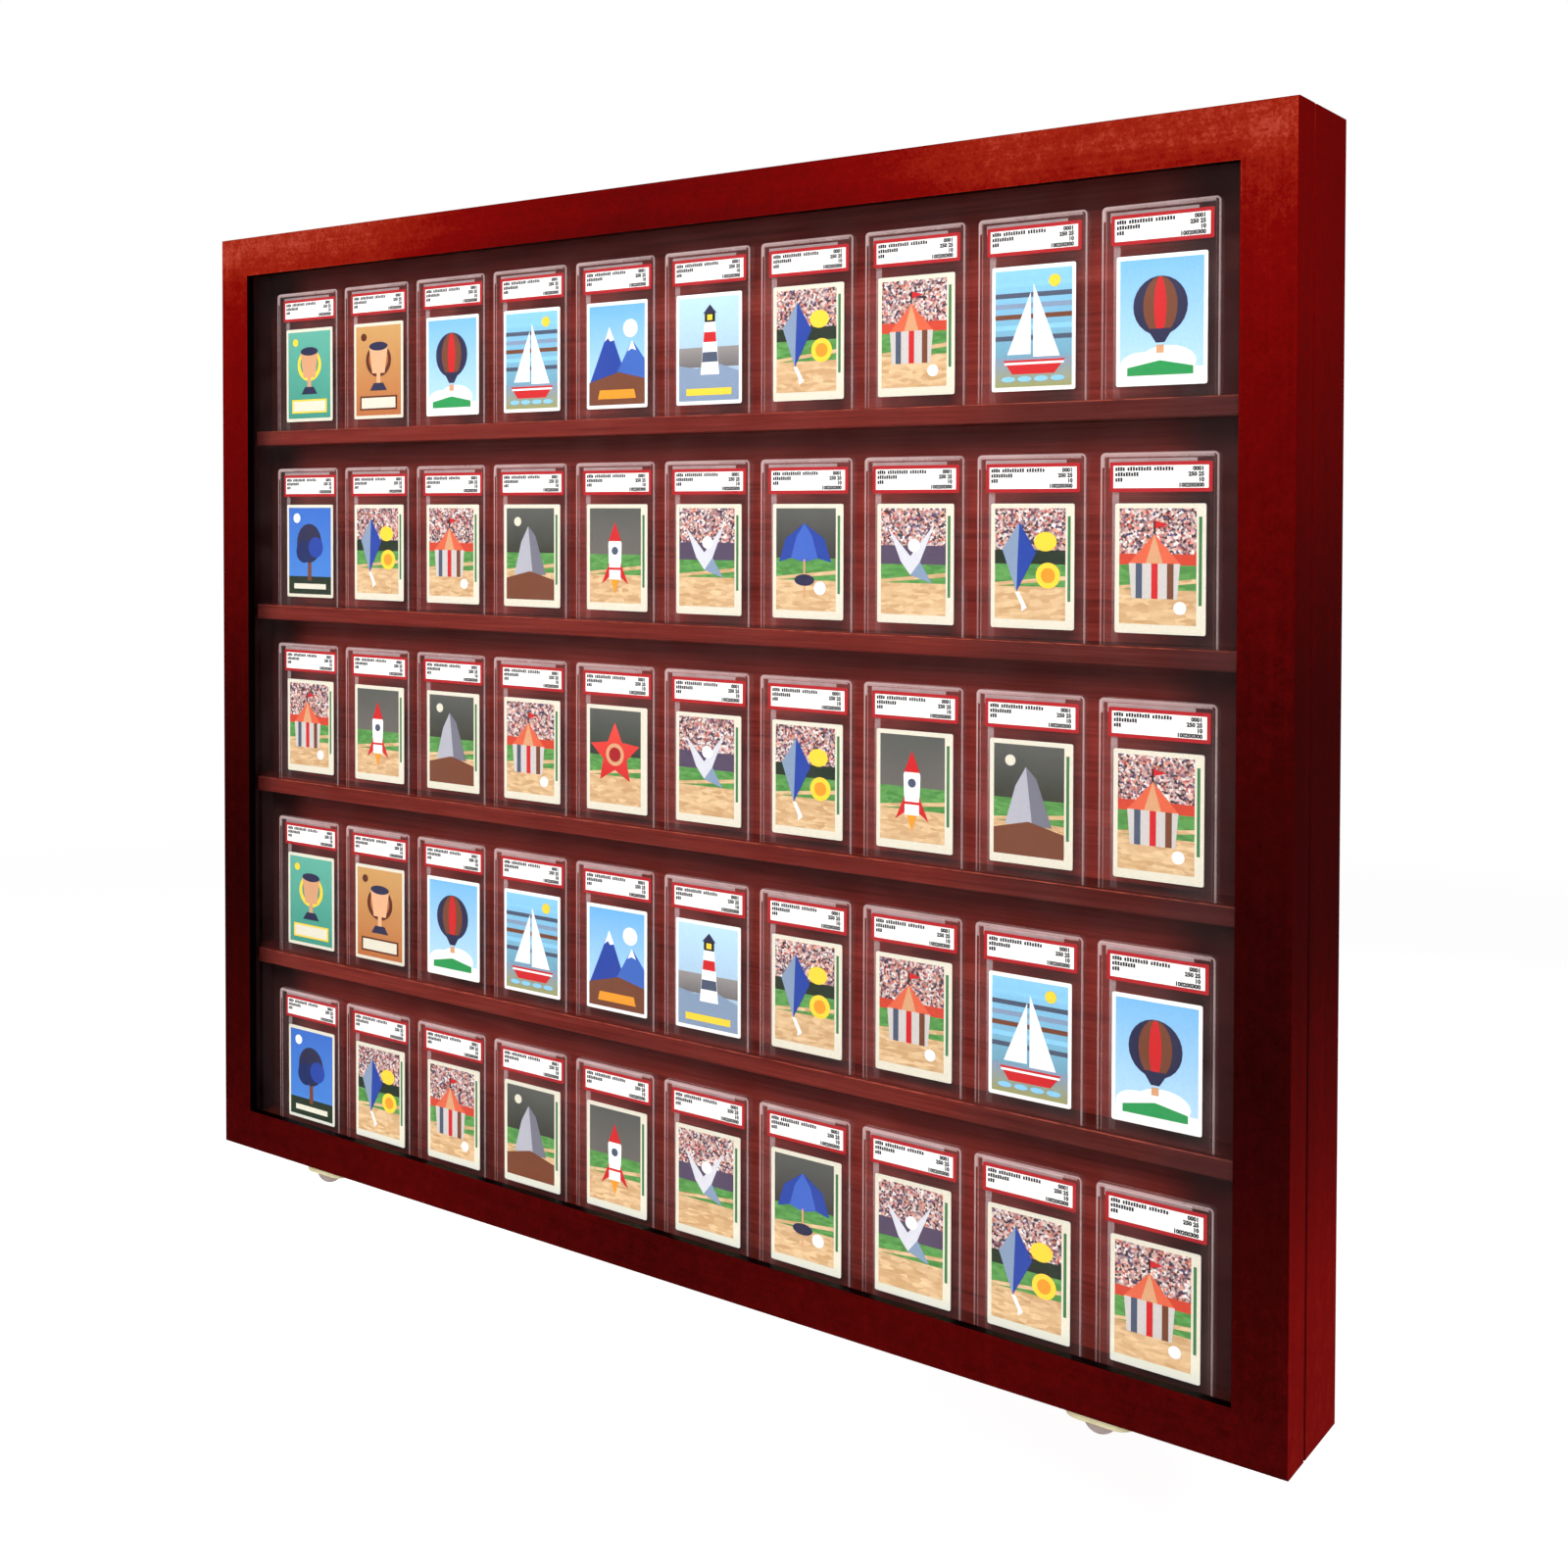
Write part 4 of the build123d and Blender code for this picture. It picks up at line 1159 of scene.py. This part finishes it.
# The floor glows as white as the background beyond these distances, and less near the case
FLOOR_FADE = (1.2, 5.0)
FLOOR_GLOW = (0.68, 1.0)
WORLD_STRENGTH = 0.05


def floor_material():
    """A pale floor that fades to white far from the case."""
    nodes = Nodes("pale_floor")
    place = nodes.object_place()
    distance = nodes.add("VectorMath", {"operation": "LENGTH"})
    nodes.plug(distance.inputs[0], place)
    fade = nodes.ranged(distance.outputs["Value"], *FLOOR_FADE)
    speckle = nodes.ranged(nodes.noise(place, 40.0, 4.0), *NOISE_SPAN, 0.97, 1.0)
    glow = nodes.add("Emission", Color=PURE_WHITE, Strength=nodes.ranged(fade, 0.0, 1.0, *FLOOR_GLOW))
    matt = nodes.add("BsdfDiffuse", Color=nodes.mixed(fade, FLOOR_GREY, PURE_BLACK), Roughness=speckle)
    shader = nodes.add("AddShader")
    nodes.plug(shader.inputs[0], glow.outputs[0])
    nodes.plug(shader.inputs[1], matt.outputs[0])
    return nodes.finish(shader.outputs[0])


def floor():
    """A large disc below the case."""
    height = CASE_BOTTOM - FLOOR_DROP
    outline = []
    for k in range(FLOOR_SIDES):
        angle = 2 * math.pi * k / FLOOR_SIDES
        outline.append((FLOOR_RADIUS * math.cos(angle), FLOOR_RADIUS * math.sin(angle), height))
    data = bpy.data.meshes.new("floor")
    data.from_pydata(outline, [], [tuple(range(FLOOR_SIDES))])
    data.materials.append(floor_material())
    item = bpy.data.objects.new("floor", data)
    item.visible_glossy = False
    bpy.context.scene.collection.objects.link(item)


def softbox(name, place, size, power, mirrored=True):
    """A square area light that faces the case, and may be left out of reflections."""
    light = bpy.data.lights.new(name, "AREA")
    light.shape = "SQUARE"
    light.size = size
    light.energy = power
    item = bpy.data.objects.new(name, light)
    item.location = place
    item.visible_glossy = mirrored
    target = Vector((0.0, FACE_FRONT, (CASE_TOP + CASE_BOTTOM) / 2))
    item.rotation_euler = (target - Vector(place)).to_track_quat("-Z", "Y").to_euler()
    bpy.context.scene.collection.objects.link(item)


def world_light():
    """White behind everything that the camera sees, and a dim grey for all other light."""
    world = bpy.data.worlds.new("studio")
    world.use_nodes = True
    tree = world.node_tree
    tree.nodes.clear()
    path = tree.nodes.new("ShaderNodeLightPath")
    dim = tree.nodes.new("ShaderNodeBackground")
    dim.inputs["Color"].default_value = PURE_WHITE
    dim.inputs["Strength"].default_value = WORLD_STRENGTH
    white = tree.nodes.new("ShaderNodeBackground")
    white.inputs["Color"].default_value = PURE_WHITE
    mix = tree.nodes.new("ShaderNodeMixShader")
    output = tree.nodes.new("ShaderNodeOutputWorld")
    tree.links.new(path.outputs["Is Camera Ray"], mix.inputs[0])
    tree.links.new(dim.outputs[0], mix.inputs[1])
    tree.links.new(white.outputs[0], mix.inputs[2])
    tree.links.new(mix.outputs[0], output.inputs["Surface"])
    bpy.context.scene.world = world


floor()
world_light()
softbox("key", (1.1, -2.6, 1.5), size=1.6, power=88.0)
softbox("fill", (-1.8, -2.7, 0.5), size=2.2, power=70.0, mirrored=False)
softbox("side", (2.8, 0.1, -0.5), size=1.2, power=46.0, mirrored=False)
softbox("rear", (-0.8, 2.6, 0.8), size=1.6, power=40.0, mirrored=False)

# The lens is in millimetres, the angles in degrees, and the shifts move the case to its place in the picture
LENS = 42.525
CAMERA_PLACE = (0.8998, -1.3002, -0.2017)
CAMERA_PITCH = 1.258
CAMERA_TURN = 38.568
CAMERA_SHIFT_X = 0.125
CAMERA_SHIFT_Y = -0.15
camera = bpy.data.cameras.new("camera")
camera.sensor_width = 36.0
camera.lens = LENS
camera.shift_x = CAMERA_SHIFT_X
camera.shift_y = CAMERA_SHIFT_Y
camera.clip_end = 60.0
camera_object = bpy.data.objects.new("camera", camera)
camera_object.location = CAMERA_PLACE
camera_object.rotation_euler = (math.radians(90 - CAMERA_PITCH), 0.0, math.radians(CAMERA_TURN))
bpy.context.scene.collection.objects.link(camera_object)
bpy.context.scene.camera = camera_object
bpy.context.scene.view_settings.view_transform = "Standard"
